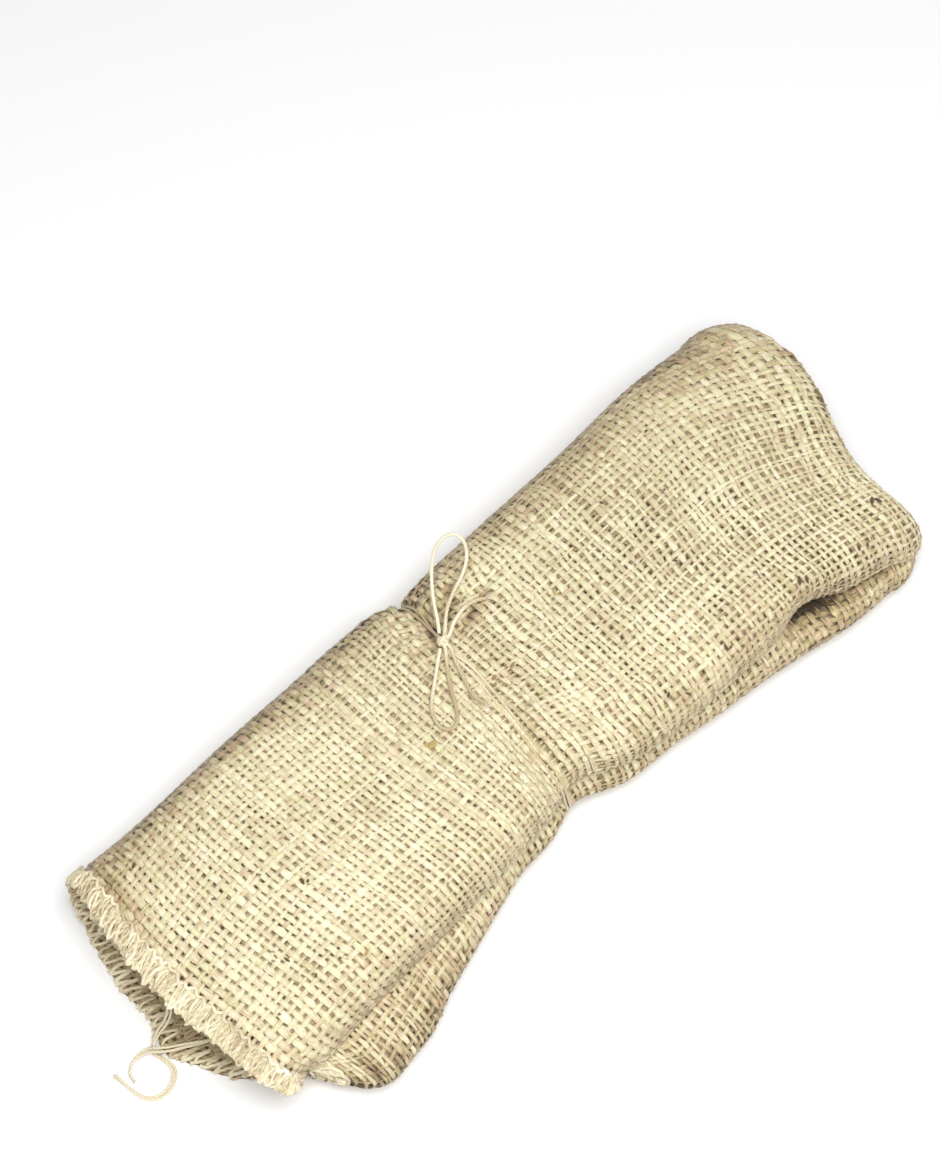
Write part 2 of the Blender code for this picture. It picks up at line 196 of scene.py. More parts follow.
def joined(parts):
    """Several parts as one, each one's points and threads numbered after the last one's."""
    points, rows = 0, 0
    kept = {name: [] for name in ("points", "quads", "fans", "quad_map", "fan_map", "tone_and_shade")}
    for part in parts:
        kept["points"].append(part["points"])
        kept["quads"].append(part["quads"] + points)
        kept["fans"].append(part["fans"] + points)
        kept["quad_map"].append(part["quad_map"] + np.array([0.0, rows]))
        kept["fan_map"].append(part["fan_map"] + np.array([0.0, rows]))
        kept["tone_and_shade"].append(part["tone_and_shade"])
        points += len(part["points"])
        rows += part["rows"]
    return {name: np.concatenate(values) for name, values in kept.items()} | {"rows": rows}


def add_piece(name, part, finish):
    """A mesh object of a part, with its thread map, a map for baking, and each point's tone and painted
    shade.
    """
    points = part["points"]
    quads, fans = part["quads"], part["fans"]
    a, b, c = (points[quads[:, k]] for k in range(3))
    d = points[quads[:, 3]]
    volume = np.einsum("ij,ij->i", a, np.cross(b, c) + np.cross(c, d)).sum()
    if volume < 0:
        quads, fans = quads[:, ::-1], fans[:, ::-1]
        part["quad_map"], part["fan_map"] = part["quad_map"][:, ::-1], part["fan_map"][:, ::-1]
    mesh = bpy.data.meshes.new(name)
    mesh.vertices.add(len(points))
    mesh.vertices.foreach_set("co", points.astype(np.float32).ravel())
    corners = np.concatenate([quads.ravel(), fans.ravel()]).astype(np.int32)
    mesh.loops.add(len(corners))
    mesh.loops.foreach_set("vertex_index", corners)
    starts = np.concatenate([4 * np.arange(len(quads)), quads.size + 3 * np.arange(len(fans))])
    mesh.polygons.add(len(starts))
    mesh.polygons.foreach_set("loop_start", starts.astype(np.int32))
    mesh.polygons.foreach_set("use_smooth", np.ones(len(starts), bool))
    threads = np.concatenate([part["quad_map"].reshape(-1, 2), part["fan_map"].reshape(-1, 2)])
    row = np.minimum(np.floor(threads[:, 1] - 1e-6).clip(0), part["rows"] - 1)
    across = (row + 0.06 + 0.88 * (threads[:, 1] - row).clip(0, 1)) / part["rows"]
    bake = np.stack([0.002 + 0.996 * threads[:, 0] / threads[:, 0].max(), across], axis=1)
    for map_name, values in (("OFBake", bake), ("thread", threads)):
        layer = mesh.uv_layers.new(name=map_name)
        layer.data.foreach_set("uv", values.astype(np.float32).ravel())
    mesh.attributes.new("tone_and_shade", "FLOAT", "POINT")
    mesh.attributes["tone_and_shade"].data.foreach_set("value", part["tone_and_shade"].astype(np.float32))
    mesh.update()
    mesh.validate()
    piece = bpy.data.objects.new(name, mesh)
    mesh.materials.append(finish)
    bpy.context.collection.objects.link(piece)
    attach(piece, "root")
    return piece


def plied_tube(path, diameter, lay, strands=3, depth=0.10, sides=12, tone=0.45):
    """A plied cord along a path: a round outline with one swelling for each strand.

    The radius is the half diameter times one, less depth times half of one minus the cosine of
    the strand count times the angle from the first strand, which turns once in each lay. Tone
    is how pale the cord is, as one value or one for each point of the path, and each strand is painted
    lighter on its swelling and darker in the grooves between, as shade."""
    side, rise = square_frame(path)
    angle = np.linspace(0.0, 2 * np.pi, sides, endpoint=False)[None, :]
    turned = 2 * np.pi * length_along(path)[:, None] / lay
    swell = 0.5 + 0.5 * np.cos(strands * (angle - turned))
    radius = diameter / 2 * (1.0 - depth + depth * swell)
    rings = (path[:, None] + side[:, None] * (radius * np.cos(angle))[..., None]
             + rise[:, None] * (radius * np.sin(angle))[..., None])
    # Painted shade: darker in the grooves between strands, lighter on each swelling.
    return tube_part(rings[None], np.reshape(tone, (-1, 1)) + 0.34 * swell[None])


def frayed_end(path, count, length, spread, fibre, seed):
    """Fibres that leave a cord's end: thin tapered tubes that part from its line as they go on.

    Each one's distance from the line grows with the square of the way along it, and it curls to
    one side by a sine. Spread is the furthest that a tip lies from the line, and fibre its radius."""
    dice = np.random.default_rng(seed)
    side, rise = (vectors[-1] for vectors in square_frame(path))
    ahead = unit(path[-1] - path[-3])
    angle = dice.uniform(0, 2 * np.pi, count)
    reach = length * dice.uniform(0.45, 1.0, count)
    outward = np.cos(angle)[:, None] * side + np.sin(angle)[:, None] * rise
    share = np.linspace(0.0, 1.0, 7)[None, :, None]
    away = spread * dice.uniform(0.2, 1.0, count)[:, None, None] * share**2 + 0.00025
    curl = np.cross(outward, ahead)[:, None] * np.sin(3 * share) * 0.0004
    root = path[-1] - ahead * 0.0008
    line = root + ahead * share * reach[:, None, None] + outward[:, None] * away + curl
    line[..., 2] = np.maximum(line[..., 2], fibre)
    corner = np.linspace(0.0, 2 * np.pi, 4)[:3]
    thin = fibre * (1.0 - 0.7 * share)
    rings = (line[:, :, None] + outward[:, None, None] * (thin * np.cos(corner))[..., None]
             + np.cross(outward, ahead)[:, None, None] * (thin * np.sin(corner))[..., None])
    return tube_part(rings, np.ones(rings.shape[:3]))


def node(tree, kind, place, **values):
    """A shader node of that kind, with its named inputs set."""
    made = tree.nodes.new(kind)
    made.location = place
    for name, value in values.items():
        made.inputs[name.replace("_", " ")].default_value = value
    return made


def thread_finish(name, colours, grain, fleck=None, deepest=None, roughness=0.9, sheen=0.25,
                  hue_reach=0.02):
    """A spun thread: its tone drifts along and between threads, and painted shade darkens it low down in
    a groove.

    colours run from a groove's painted shade to the thread's top, and deepest is a painted shadow's
    colour, below all of them, as under a fold.
    grain is how strongly fine fibres show, and hue_reach how far one length's hue lies from the next."""
    made = bpy.data.materials.new(name)
    made.use_nodes = True
    tree = made.node_tree
    shader = tree.nodes["Principled BSDF"]
    shader.inputs["Roughness"].default_value = roughness
    shader.inputs["Sheen Weight"].default_value = sheen
    shader.inputs["Sheen Roughness"].default_value = 0.6
    shader.inputs["Specular IOR Level"].default_value = 0.25
    thread_map = node(tree, "ShaderNodeUVMap", (-1500, 0))
    thread_map.uv_map = "thread"
    link = tree.links.new

    # The thread's own number, so that neighbours differ.
    parts = node(tree, "ShaderNodeSeparateXYZ", (-1300, 200))
    link(thread_map.outputs["UV"], parts.inputs["Vector"])
    number = node(tree, "ShaderNodeMath", (-1100, 200))
    number.operation = "FLOOR"
    link(parts.outputs["Y"], number.inputs[0])
    own = node(tree, "ShaderNodeTexWhiteNoise", (-900, 200))
    own.noise_dimensions = "1D"
    link(number.outputs["Value"], own.inputs["W"])

    # Slow drifts of tone in space, and quicker ones along each thread.
    place = node(tree, "ShaderNodeTexCoord", (-1500, -300))
    drift = node(tree, "ShaderNodeTexNoise", (-1100, -200), Scale=34.0, Detail=4.0, Roughness=0.65)
    link(place.outputs["Object"], drift.inputs["Vector"])
    stretch = node(tree, "ShaderNodeMapping", (-1300, 0), Scale=(230.0, 1.0, 1.0))
    link(thread_map.outputs["UV"], stretch.inputs["Vector"])
    along = node(tree, "ShaderNodeTexNoise", (-1100, 0), Scale=1.0, Detail=3.0, Roughness=0.6)
    link(stretch.outputs["Vector"], along.inputs["Vector"])

    # Fibres, long and thin, that lie at a slight slant round the thread.
    slant = node(tree, "ShaderNodeMapping", (-1300, -500), Rotation=(0.0, 0.0, 0.10),
                 Scale=(240.0, 9.0, 1.0))
    link(thread_map.outputs["UV"], slant.inputs["Vector"])
    fibres = node(tree, "ShaderNodeTexNoise", (-1100, -500), Scale=1.0, Detail=4.0, Roughness=0.75)
    link(slant.outputs["Vector"], fibres.inputs["Vector"])

    # Each point's tone, painted shade included, comes from the mesh.
    tone_and_shade = tree.nodes.new("ShaderNodeAttribute")
    tone_and_shade.attribute_name = "tone_and_shade"
    tone_and_shade.location = (-900, -50)
    ramp = node(tree, "ShaderNodeValToRGB", (-500, 0))
    ramp.color_ramp.elements[0].color = (*colours[0], 1.0)
    ramp.color_ramp.elements[1].color = (*colours[-1], 1.0)
    for step, colour in enumerate(colours[1:-1], start=1):
        ramp.color_ramp.elements.new(step / (len(colours) - 1)).color = (*colour, 1.0)
    # Below all of them, a painted shadow's colour.
    if deepest:
        ramp.color_ramp.elements[0].position = 0.03
        ramp.color_ramp.elements.new(0.0).color = (*deepest, 1.0)

    # The tone is the point's own tone and painted shade plus each of these values, taken about its
    # middle.
    tone = tone_and_shade.outputs["Fac"]
    shares = ((own, 0.20), (drift, 0.55), (along, 0.60), (fibres, grain))
    for part, (source, share) in enumerate(shares):
        worked = node(tree, "ShaderNodeMath", (-860 + 70 * part, 0))
        worked.operation = "MULTIPLY_ADD"
        worked.inputs[1].default_value = share
        link(source.outputs["Value" if source == own else "Fac"], worked.inputs[0])
        link(tone, worked.inputs[2])
        lowered = node(tree, "ShaderNodeMath", (-830 + 70 * part, -60))
        lowered.operation = "SUBTRACT"
        lowered.inputs[1].default_value = share / 2
        link(worked.outputs["Value"], lowered.inputs[0])
        tone = lowered.outputs["Value"]
    link(tone, ramp.inputs["Fac"])

    # A hue of its own for each length of thread: some pinker, some greener.
    hue = node(tree, "ShaderNodeHueSaturation", (-200, 0), Saturation=1.0, Value=1.0)
    hue_drift = node(tree, "ShaderNodeTexNoise", (-700, 300), Scale=0.8, Detail=1.0)
    link(stretch.outputs["Vector"], hue_drift.inputs["Vector"])
    hue_range = node(tree, "ShaderNodeMapRange", (-450, 300), From_Min=0.3, From_Max=0.7,
                     To_Min=0.5 - hue_reach, To_Max=0.5 + hue_reach)
    link(hue_drift.outputs["Fac"], hue_range.inputs["Value"])
    link(hue_range.outputs["Result"], hue.inputs["Hue"])
    link(ramp.outputs["Color"], hue.inputs["Color"])
    colour = hue.outputs["Color"]
    if fleck:
        spots = node(tree, "ShaderNodeTexNoise", (-700, 550), Scale=230.0, Detail=2.0)
        link(place.outputs["Object"], spots.inputs["Vector"])
        share = node(tree, "ShaderNodeMapRange", (-450, 550), From_Min=0.70, From_Max=0.76)
        link(spots.outputs["Fac"], share.inputs["Value"])
        mix = node(tree, "ShaderNodeMix", (0, 100))
        mix.data_type = "RGBA"
        mix.inputs[7].default_value = (*fleck, 1.0)
        link(share.outputs["Result"], mix.inputs[0])
        link(colour, mix.inputs[6])
        colour = mix.outputs[2]
    link(colour, shader.inputs["Base Color"])

    bump = node(tree, "ShaderNodeBump", (0, -400), Strength=0.45, Distance=0.0003)
    link(fibres.outputs["Fac"], bump.inputs["Height"])
    link(bump.outputs["Normal"], shader.inputs["Normal"])
    return made


cotton = thread_finish("cotton_twine", ((0.50, 0.38, 0.21), (0.80, 0.71, 0.50), (0.93, 0.89, 0.72)),
                       grain=0.20, hue_reach=0.008)


def bell(distance, reach):
    """One at nought and less to both sides: e to the power of minus the square of distance, as a
    share of reach."""
    return np.exp(-(distance / reach)**2)


def bow_piece(name, route, changes_along, *nodes):
    """One loop of the bow with its tail: a plied tube along its route, and its frayed tip.

    Each row of the table is a place along the cord, as a share, how much darker the cord is there, and
    its reach."""
    path = smooth_route(route, TWINE_RING)
    share = np.linspace(0, 1, len(path))
    tone = 0.50 - sum(depth * bell(share - at, reach) for at, depth, reach in changes_along)
    part = joined([plied_tube(path, TWINE_DIAMETER, TWINE_LAY, tone=tone),
                   frayed_end(path, 16, 0.0030, 0.0011, 0.00009, seed=len(route))])
    piece = add_piece(name, part, cotton)
    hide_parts(*nodes)
    return piece, path


bow_upper, upper_path = bow_piece("bow_upper_loop_and_long_end", UPPER_LOOP_AND_LONG_END,
                                  ((0.62, 0.30, 0.07), (1.0, 0.75, 0.22)),
                                  "tie_loop_upper", "tie_end_long")
bow_lower, lower_path = bow_piece("bow_lower_loop_and_short_end", LOWER_LOOP_AND_SHORT_END,
                                  ((0.33, 0.60, 0.16), (0.55, 0.70, 0.14), (1.0, 0.60, 0.10)),
                                  "tie_loop_lower", "tie_end_short")

# The knot: the twine winds twice round the bow's two loops, as an oval coil along the bow's line,
# and once over its own turns, as a half ellipse that stands upright.
BOW_TURN = np.radians(46.0)         # the bow's line, from along the roll
COIL_TURNS = (-0.30, 1.95)          # where it starts and ends
COIL_HALF_WIDTH = 0.00150           # to the twine's middle, as every size of the knot is
COIL_HALF_HEIGHT = 0.00105
COIL_LENGTH = 0.0024
COIL_ANGLE = 4.5 * np.pi            # that it takes from end to end
COIL_BACK = 0.35                    # share of its length that brings its middle to the knot's
LAP_TURNS = (-0.075, 0.575)
LAP_AHEAD = 0.0016
LAP_ASIDE = 0.0010
LAP_HEIGHT = 0.0014
LAP_RAISED = 0.0002
bow_ahead = np.array([np.cos(BOW_TURN), np.sin(BOW_TURN), 0.0])
bow_aside = np.array([-np.sin(BOW_TURN), np.cos(BOW_TURN), 0.0])
upwards = np.array([0.0, 0.0, 1.0])
wound = 2 * np.pi * np.linspace(*COIL_TURNS, 60)[:, None]
coil = (np.array(KNOT_PLACE) + bow_ahead * COIL_LENGTH * (wound / COIL_ANGLE - COIL_BACK)
        + bow_aside * COIL_HALF_WIDTH * np.cos(wound) + upwards * COIL_HALF_HEIGHT * np.sin(wound))
lap = 2 * np.pi * np.linspace(*LAP_TURNS, 24)[:, None]
overlap = (np.array(KNOT_PLACE) + (bow_ahead * LAP_AHEAD - bow_aside * LAP_ASIDE) * np.cos(lap)
           + upwards * (LAP_HEIGHT * np.sin(lap) + LAP_RAISED))
knot = add_piece("tie_knot_of_twine", joined([
    plied_tube(even_points(coil, TWINE_RING), TWINE_DIAMETER, TWINE_LAY, tone=0.25),
    plied_tube(even_points(overlap, TWINE_RING), TWINE_DIAMETER, TWINE_LAY)]), cotton)
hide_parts("tie_knot")

# ---------------------------------------------------------------------------- seam threads
# Two ends of doubled sewing thread, left long where the machine ran off the sack's bound edge.
# One runs down from under the flap and curls into a ring on the table, the other crosses it.
SEAM_STRAND = 0.00095
SEAM_STRANDS_APART = 0.00125
SEAM_THREAD_LAY = 0.075
SEAM_THREAD_LONG = (
    # along     across   up
    (-0.1440,   0.0023,  0.0373),
    (-0.1485,   0.0023,  0.0365),
    (-0.1524,   0.0022,  0.0315),
    (-0.1542,   0.0020,  0.0225),
    (-0.1554,   0.0019,  0.0150),
    (-0.1577,   0.0020,  0.0103),
    (-0.1605,   0.0024,  0.0068),
    (-0.1633,   0.0019,  0.0033),
    (-0.1651,   -0.0002, 0.0013),
    (-0.1642,   -0.0037, 0.0009),
    (-0.1639,   -0.0079, 0.0009),
    (-0.1662,   -0.0110, 0.0009),
    (-0.1704,   -0.0128, 0.0009),
    (-0.1746,   -0.0121, 0.0009),
    (-0.1774,   -0.0094, 0.0009),
    (-0.1786,   -0.0048, 0.0009),
    (-0.1791,   -0.0005, 0.0009),
    (-0.1794,   0.0027,  0.0009),
)
SEAM_THREAD_SHORT = (
    # along     across   up
    (-0.1380,   -0.0163, 0.0053),
    (-0.1450,   -0.0136, 0.0058),
    (-0.1520,   -0.0100, 0.0064),
    (-0.1574,   -0.0067, 0.0064),
    (-0.1616,   -0.0041, 0.0062),
    (-0.1642,   -0.0018, 0.0056),
    (-0.1663,   0.0009,  0.0040),
    (-0.1695,   0.0025,  0.0019),
    (-0.1729,   0.0022,  0.0009),
    (-0.1755,   -0.0001, 0.0009),
    (-0.1761,   -0.0029, 0.0009),
)
sewing = thread_finish("sewing_thread", ((0.40, 0.31, 0.17), (0.72, 0.63, 0.42), (0.90, 0.85, 0.66)),
                       grain=0.3, hue_reach=0.010)


def doubled_thread(name, route, node_name, seed):
    """Two strands side by side along a route, turning slowly round each other, frayed at the tip."""
    path = smooth_route(route, TWINE_RING)
    side, rise = square_frame(path)
    turned = 2 * np.pi * length_along(path)[:, None] / SEAM_THREAD_LAY
    apart = SEAM_STRANDS_APART / 2
    parts = []
    for sign in (-1.0, 1.0):
        strand = path + sign * apart * (side * np.cos(turned) + rise * np.sin(turned))
        strand[:, 2] = np.maximum(strand[:, 2], SEAM_STRAND / 2)
        parts.append(plied_tube(strand, SEAM_STRAND, TWINE_LAY * 0.6, strands=2, sides=8))
        parts.append(frayed_end(strand, 7, 0.0024, 0.0008, 0.00008, seed=seed + int(sign)))
    piece = add_piece(name, joined(parts), sewing)
    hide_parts(node_name)


doubled_thread("seam_thread_with_ring", SEAM_THREAD_LONG, "seam_thread_long", seed=31)
doubled_thread("seam_thread_crossing", SEAM_THREAD_SHORT, "seam_thread_short", seed=41)

# ---------------------------------------------------------------------------- sack's inner plies
# The sack is two panels of hessian, 406 mm wide and 610 mm long, sewn round three sides. It was
# folded end to end, so four plies lie together, and rolled up from one side. This piece is the
# inner panel, which lines the roll inside and shows between the threads of the outer one.
CLOTH_WIDTH = 0.406
SHEET_THICKNESS = 0.0040            # of the four plies, pressed together
FOLD_SWELL = 0.0014                 # how much thicker the sheet is beside its fold, on each face
FOLD_REACH = 0.016                  # how far from the fold it swells
END_REACH = 0.150                   # how far from each end of the roll its slant reaches
FLAP_ROUNDING = 0.0014              # half the sheet's thickness at its free side edge
CORNER_RADIUS = 0.0085              # of the flap's corner at the open end
LEAF_RECESS = 0.0070                # of the inner leaf's edge, from the outer leaf's
TIE_ALONG = 0.153                   # from the open end
TIE_REACH = 0.008                   # how far from it the tie draws the roll in
TIE_PINCH = 0.0016
TIE_SLANT = 0.13                    # how far the tie goes along the roll for each metre across
ORIGIN_ALONG = 0.161                # the row's origin, from the open end
ORIGIN_ACROSS = 0.0132              # and from the roll's middle line

# The roll's section: a spline's corners, from the flap's free edge over the top, round the far
# side, along the table, round the lobe and into the core. Across is a share of the half width on
# that corner's side, and up a share of the height.
PROFILE = (
    # side    across   up      open_end  fold_end   tie
    ("flap",  1.00,    0.600,  0.014,    0.0080,    0.0040),
    ("flap",  1.00,    0.800,  0.008,    0.0075,    0.0075),
    ("flap",  0.90,    0.985,  0.006,    0.0085,    0.0100),
    ("flap",  0.45,    1.020,  0.007,    0.0140,    0.0040),
    ("flap",  0.00,    1.020,  0.007,    -0.0040,   0.0010),
    ("left",  0.50,    1.010,  0.007,    -0.0090,   0.0010),
    ("left",  0.98,    0.960,  0.008,    -0.0030,   0.0030),
    ("left",  1.10,    0.480,  0.006,    0.0040,    0.0000),
    ("left",  0.96,    0.000,  0.007,    0.0080,    -0.0028),
    ("left",  0.50,    0.000,  0.004,    0.0100,    -0.0028),
    ("lobe",  0.00,    0.000,  0.000,    0.0120,    -0.0028),
    ("lobe",  0.45,    0.000,  0.002,    0.0140,    -0.0028),
    ("lobe",  0.92,    0.000,  0.015,    0.0120,    -0.0028),
    ("lobe",  1.12,    0.300,  0.027,    0.0080,    -0.0005),
    ("lobe",  0.90,    0.530,  0.024,    0.0040,    0.0040),
    ("flap",  0.62,    0.540,  0.016,    0.0120,    0.0040),
    ("flap",  0.00,    0.700,  0.010,    0.0160,    0.0020),
    ("left",  0.45,    0.760,  0.010,    0.0160,    0.0020),
    ("left",  0.82,    0.620,  0.010,    0.0160,    0.0000),
    ("left",  0.70,    0.190,  0.010,    0.0160,    -0.0024),
    ("flap",  0.00,    0.160,  0.010,    0.0160,    -0.0024),
    ("flap",  0.20,    0.200,  0.012,    0.0180,    -0.0024),
)
# The roll's half widths from its middle line, and its height, at places along it.
STATIONS = np.array((
    # along   left     flap     lobe     height
    (0.000,   0.0405,  0.0660,  0.0600,  0.0420),
    (0.030,   0.0395,  0.0620,  0.0700,  0.0450),
    (0.052,   0.0405,  0.0600,  0.0725,  0.0470),
    (0.078,   0.0410,  0.0585,  0.0645,  0.0480),
    (0.105,   0.0415,  0.0565,  0.0570,  0.0480),
    (0.135,   0.0430,  0.0530,  0.0515,  0.0465),
    (0.157,   0.0410,  0.0490,  0.0480,  0.0450),
    (0.172,   0.0420,  0.0550,  0.0530,  0.0455),
    (0.200,   0.0425,  0.0585,  0.0555,  0.0475),
    (0.235,   0.0435,  0.0585,  0.0575,  0.0485),
    (0.275,   0.0465,  0.0615,  0.0630,  0.0475),
    (0.314,   0.0455,  0.0645,  0.0625,  0.0430),
))
ROLL_LENGTH = STATIONS[-1, 0]


def spline_weights(count, shares):
    """Weights of a clamped cubic B-spline: each order blends two neighbours of the order below."""
    degree = 3
    knots = np.concatenate([np.zeros(degree), np.linspace(0, 1, count - degree + 1), np.ones(degree)])
    at = np.clip(shares, 0.0, 1.0 - 1e-9)[:, None]
    weights = ((at >= knots[None, :-1]) & (at < knots[None, 1:])).astype(float)
    for order in range(1, degree + 1):
        kept = len(knots) - 1 - order
        rise = knots[order:order + kept] - knots[:kept]
        fall = knots[order + 1:order + 1 + kept] - knots[1:1 + kept]
        up = np.where(rise > 0, (at - knots[:kept]) / np.where(rise > 0, rise, 1), 0)
        down = (knots[order + 1:order + 1 + kept] - at) / np.where(fall > 0, fall, 1)
        weights = up * weights[:, :kept] + np.where(fall > 0, down, 0) * weights[:, 1:kept + 1]
    return weights


def station_column(along, column):
    """One column of STATIONS as a smooth cubic through its rows."""
    place, value = STATIONS[:, 0], STATIONS[:, column]
    slope = np.gradient(value, place)
    row = np.clip(np.searchsorted(place, along) - 1, 0, len(place) - 2)
    step = place[row + 1] - place[row]
    share = np.clip((along - place[row]) / step, 0.0, 1.0)
    start = (2 * share**3 - 3 * share**2 + 1) * value[row]
    end = (3 * share**2 - 2 * share**3) * value[row + 1]
    bend = (share**3 - 2 * share**2 + share) * slope[row] + (share**3 - share**2) * slope[row + 1]
    return start + end + step * bend


def sheet_middle(along, shares):
    """The middle of the rolled sheet: a spline through PROFILE's corners at each place along.

    Each corner stands a share of the half width to its side and a share of the height up, moved
    along by its end's slant, and drawn in and down by the tie as a bell round its line."""
    inset = SHEET_THICKNESS / 2 + TIE_PINCH * bell(along - TIE_ALONG, TIE_REACH)
    half = {"left": inset - station_column(along, 1), "flap": station_column(along, 2) - inset,
            "lobe": station_column(along, 3) - inset}
    height = station_column(along, 4) - SHEET_THICKNESS
    near_open = np.clip(1 - along / END_REACH, 0, 1)**2
    near_fold = np.clip(1 - (ROLL_LENGTH - along) / END_REACH, 0, 1)**2
    rows = []
    for side, across, up, open_end, fold_end, tie in PROFILE:
        x = along + open_end * near_open - fold_end * near_fold - ORIGIN_ALONG
        y = ORIGIN_ACROSS - across * half[side]
        shift = TIE_SLANT * (y - ORIGIN_ACROSS) * min(up, 1)
        pull = bell(along - TIE_ALONG - shift, TIE_REACH)
        rows.append(np.stack([x, y, SHEET_THICKNESS / 2 + up * height - tie * pull], axis=-1))
    return np.einsum("pc,csk->psk", spline_weights(len(PROFILE), shares), np.array(rows))


# The sheet's middle on a fine grid: rows are even steps across the cloth, and columns even steps
# along the roll. Both run a little past the cloth, so that stitches can go round its edges.
GRID_STEP = 0.0005
GRID_PAST = 0.008
grid_along = np.arange(-GRID_PAST, ROLL_LENGTH + GRID_PAST, 2 * GRID_STEP)
grid_across = np.arange(-GRID_PAST, CLOTH_WIDTH + GRID_PAST, GRID_STEP)
fine_shares = np.linspace(0, 1, 1601)
fine_middle = sheet_middle(grid_along, fine_shares)
walked_across = length_along(fine_middle.transpose(1, 0, 2))
width_shares = grid_across.clip(0, CLOTH_WIDTH) / CLOTH_WIDTH
even_shares = [np.interp(width_shares * walked[-1], walked, fine_shares) for walked in walked_across]
grid_middle = np.stack([np.stack([np.interp(shares, fine_shares, fine_middle[:, column, axis])
                                  for axis in range(3)], axis=-1)
                        for column, shares in enumerate(even_shares)], axis=1)
inside = (grid_across >= 0) & (grid_across <= CLOTH_WIDTH)
first_row, last_row = np.flatnonzero(inside)[[0, -1]]
for edge, direction in ((first_row, 1), (last_row, -1)):
    slope = (grid_middle[edge + 6 * direction] - grid_middle[edge]) / 6
    beyond = (np.arange(len(grid_across)) - edge) * direction
    outside = beyond < 0
    grid_middle[outside] = grid_middle[edge] + beyond[outside, None, None] * slope


# The cloth's own unevenness: each row moves the cloth round one place, fading as a bell.
UNEVEN = (
    # across  along    reach across, along   shift along, across, up
    (0.0650,  -0.004,  0.0360, 0.0300,       -0.0048, 0.0000, 0.0000),   # the open end, bowed out on top
    (0.0060,  -0.002,  0.0120, 0.0100,       0.0018, 0.0008, 0.0000),    # and back at the flap's corner
    (0.1300,  -0.002,  0.0220, 0.0120,       0.0036, 0.0000, 0.0000),    # its edge on the far side
    (0.1840,  -0.002,  0.0120, 0.0120,       0.0018, 0.0000, 0.0000),    # its edge on the table
    (0.1990,  0.0000,  0.0070, 0.0120,       -0.0034, 0.0000, 0.0000),
    (0.2390,  -0.004,  0.0140, 0.0280,       0.0075, 0.0000, 0.0000),    # its edge below the flap
    (0.2400,  -0.002,  0.0080, 0.0160,       0.0030, 0.0000, 0.0020),
    (0.2540,  -0.002,  0.0140, 0.0085,       0.0000, 0.0055, 0.0000),    # the lobe's edge, drawn in
    (0.2580,  0.0000,  0.0070, 0.0100,       0.0000, -0.0004, 0.0000),
    (0.0000,  0.0110,  0.0160, 0.0060,       0.0000, 0.0040, -0.0010),   # the flap, drawn in by stitches
    (0.2580,  0.0210,  0.0200, 0.0170,       0.0000, -0.0078, 0.0005),   # the lobe's swell beside it
    (0.1030,  0.0500,  0.0200, 0.0200,       0.0000, -0.0010, 0.0000),   # the far side, a little in
    (0.2560,  0.0640,  0.0200, 0.0140,       0.0000, 0.0014, 0.0000),    # dips along the lobe
    (0.2560,  0.1230,  0.0200, 0.0120,       0.0000, 0.0016, 0.0000),
    (0.2560,  0.1900,  0.0220, 0.0200,       0.0000, 0.0020, 0.0000),
    (0.2580,  0.1650,  0.0150, 0.0080,       0.0000, 0.0014, 0.0000),    # and at the tie
    (0.1200,  0.1500,  0.0180, 0.0100,       0.0000, 0.0028, 0.0000),    # the far side, at the tie
    (0.0250,  0.1570,  0.0260, 0.0090,       0.0000, 0.0000, 0.0030),    # less drawn in by the tie
    (0.2640,  0.2600,  0.0085, 0.0105,       0.0000, 0.0105, -0.0055),   # a hollow under the flap
    (0.2700,  0.2350,  0.0070, 0.0060,       0.0000, 0.0030, -0.0010),   # and a dip beside it
    (0.0000,  0.2600,  0.0110, 0.0140,       0.0000, 0.0056, 0.0010),    # the flap's edge over it
    (0.2460,  0.3160,  0.0200, 0.0200,       -0.0022, 0.0000, 0.0000),   # the lobe's corner at the fold
    (0.0000,  0.3140,  0.0120, 0.0160,       0.0010, -0.0006, -0.0045),  # the flap's, pressed on to it
    (0.0550,  0.3180,  0.0260, 0.0220,       0.0026, 0.0000, 0.0000),    # the fold, between its corners
)


def over_grid(rows):
    """The sum over rows of each one's last values, times the two bells about its place."""
    total = 0.0
    for across, along, across_reach, along_reach, *values in rows:
        spot = (bell(grid_across[:, None] - across, across_reach)
                * bell(grid_along[None, :] - along, along_reach))
        total = total + spot[..., None] * np.array(values)
    return total


def grid_normals(points):
    """Unit normals of the sheet in the plane of each section, pointing out of the roll."""
    run = np.gradient(points[..., 1:], axis=0)
    return unit(np.stack([0 * run[..., 0], -run[..., 1], run[..., 0]], axis=-1))


# The twine draws the cloth into creases, all as troughs, so that the cloth stays below the twine.
# Long ones fan out from the knot, short ones lie side by side along the rest of the tie, and each
# of the tie's two turns lies in a groove, which is deepest on the far side of the knot.
TIE_SPACING = 0.0017                # between the two turns
TIE_KINK = (-0.0026, 0.0090)        # how far the knot draws the turns along, and over what width
KNOT_CREASES = (
    # degrees  from     to       width    depth
    (2,        0.0030,  0.0180,  0.0012,  0.0012),
    (18,       0.0060,  0.0380,  0.0014,  0.0030),
    (32,       0.0020,  0.0130,  0.0013,  0.0022),
    (46,       0.0090,  0.0360,  0.0014,  0.0030),
    (66,       0.0050,  0.0240,  0.0015,  0.0022),
    (104,      0.0020,  0.0170,  0.0015,  0.0018),
    (131,      0.0020,  0.0150,  0.0014,  0.0017),
    (158,      0.0020,  0.0120,  0.0013,  0.0013),
    (207,      0.0020,  0.0180,  0.0014,  0.0016),
    (236,      0.0020,  0.0120,  0.0012,  0.0012),
)
CREASE_FLARE = 14                   # widths that a crease gains for each metre from the knot
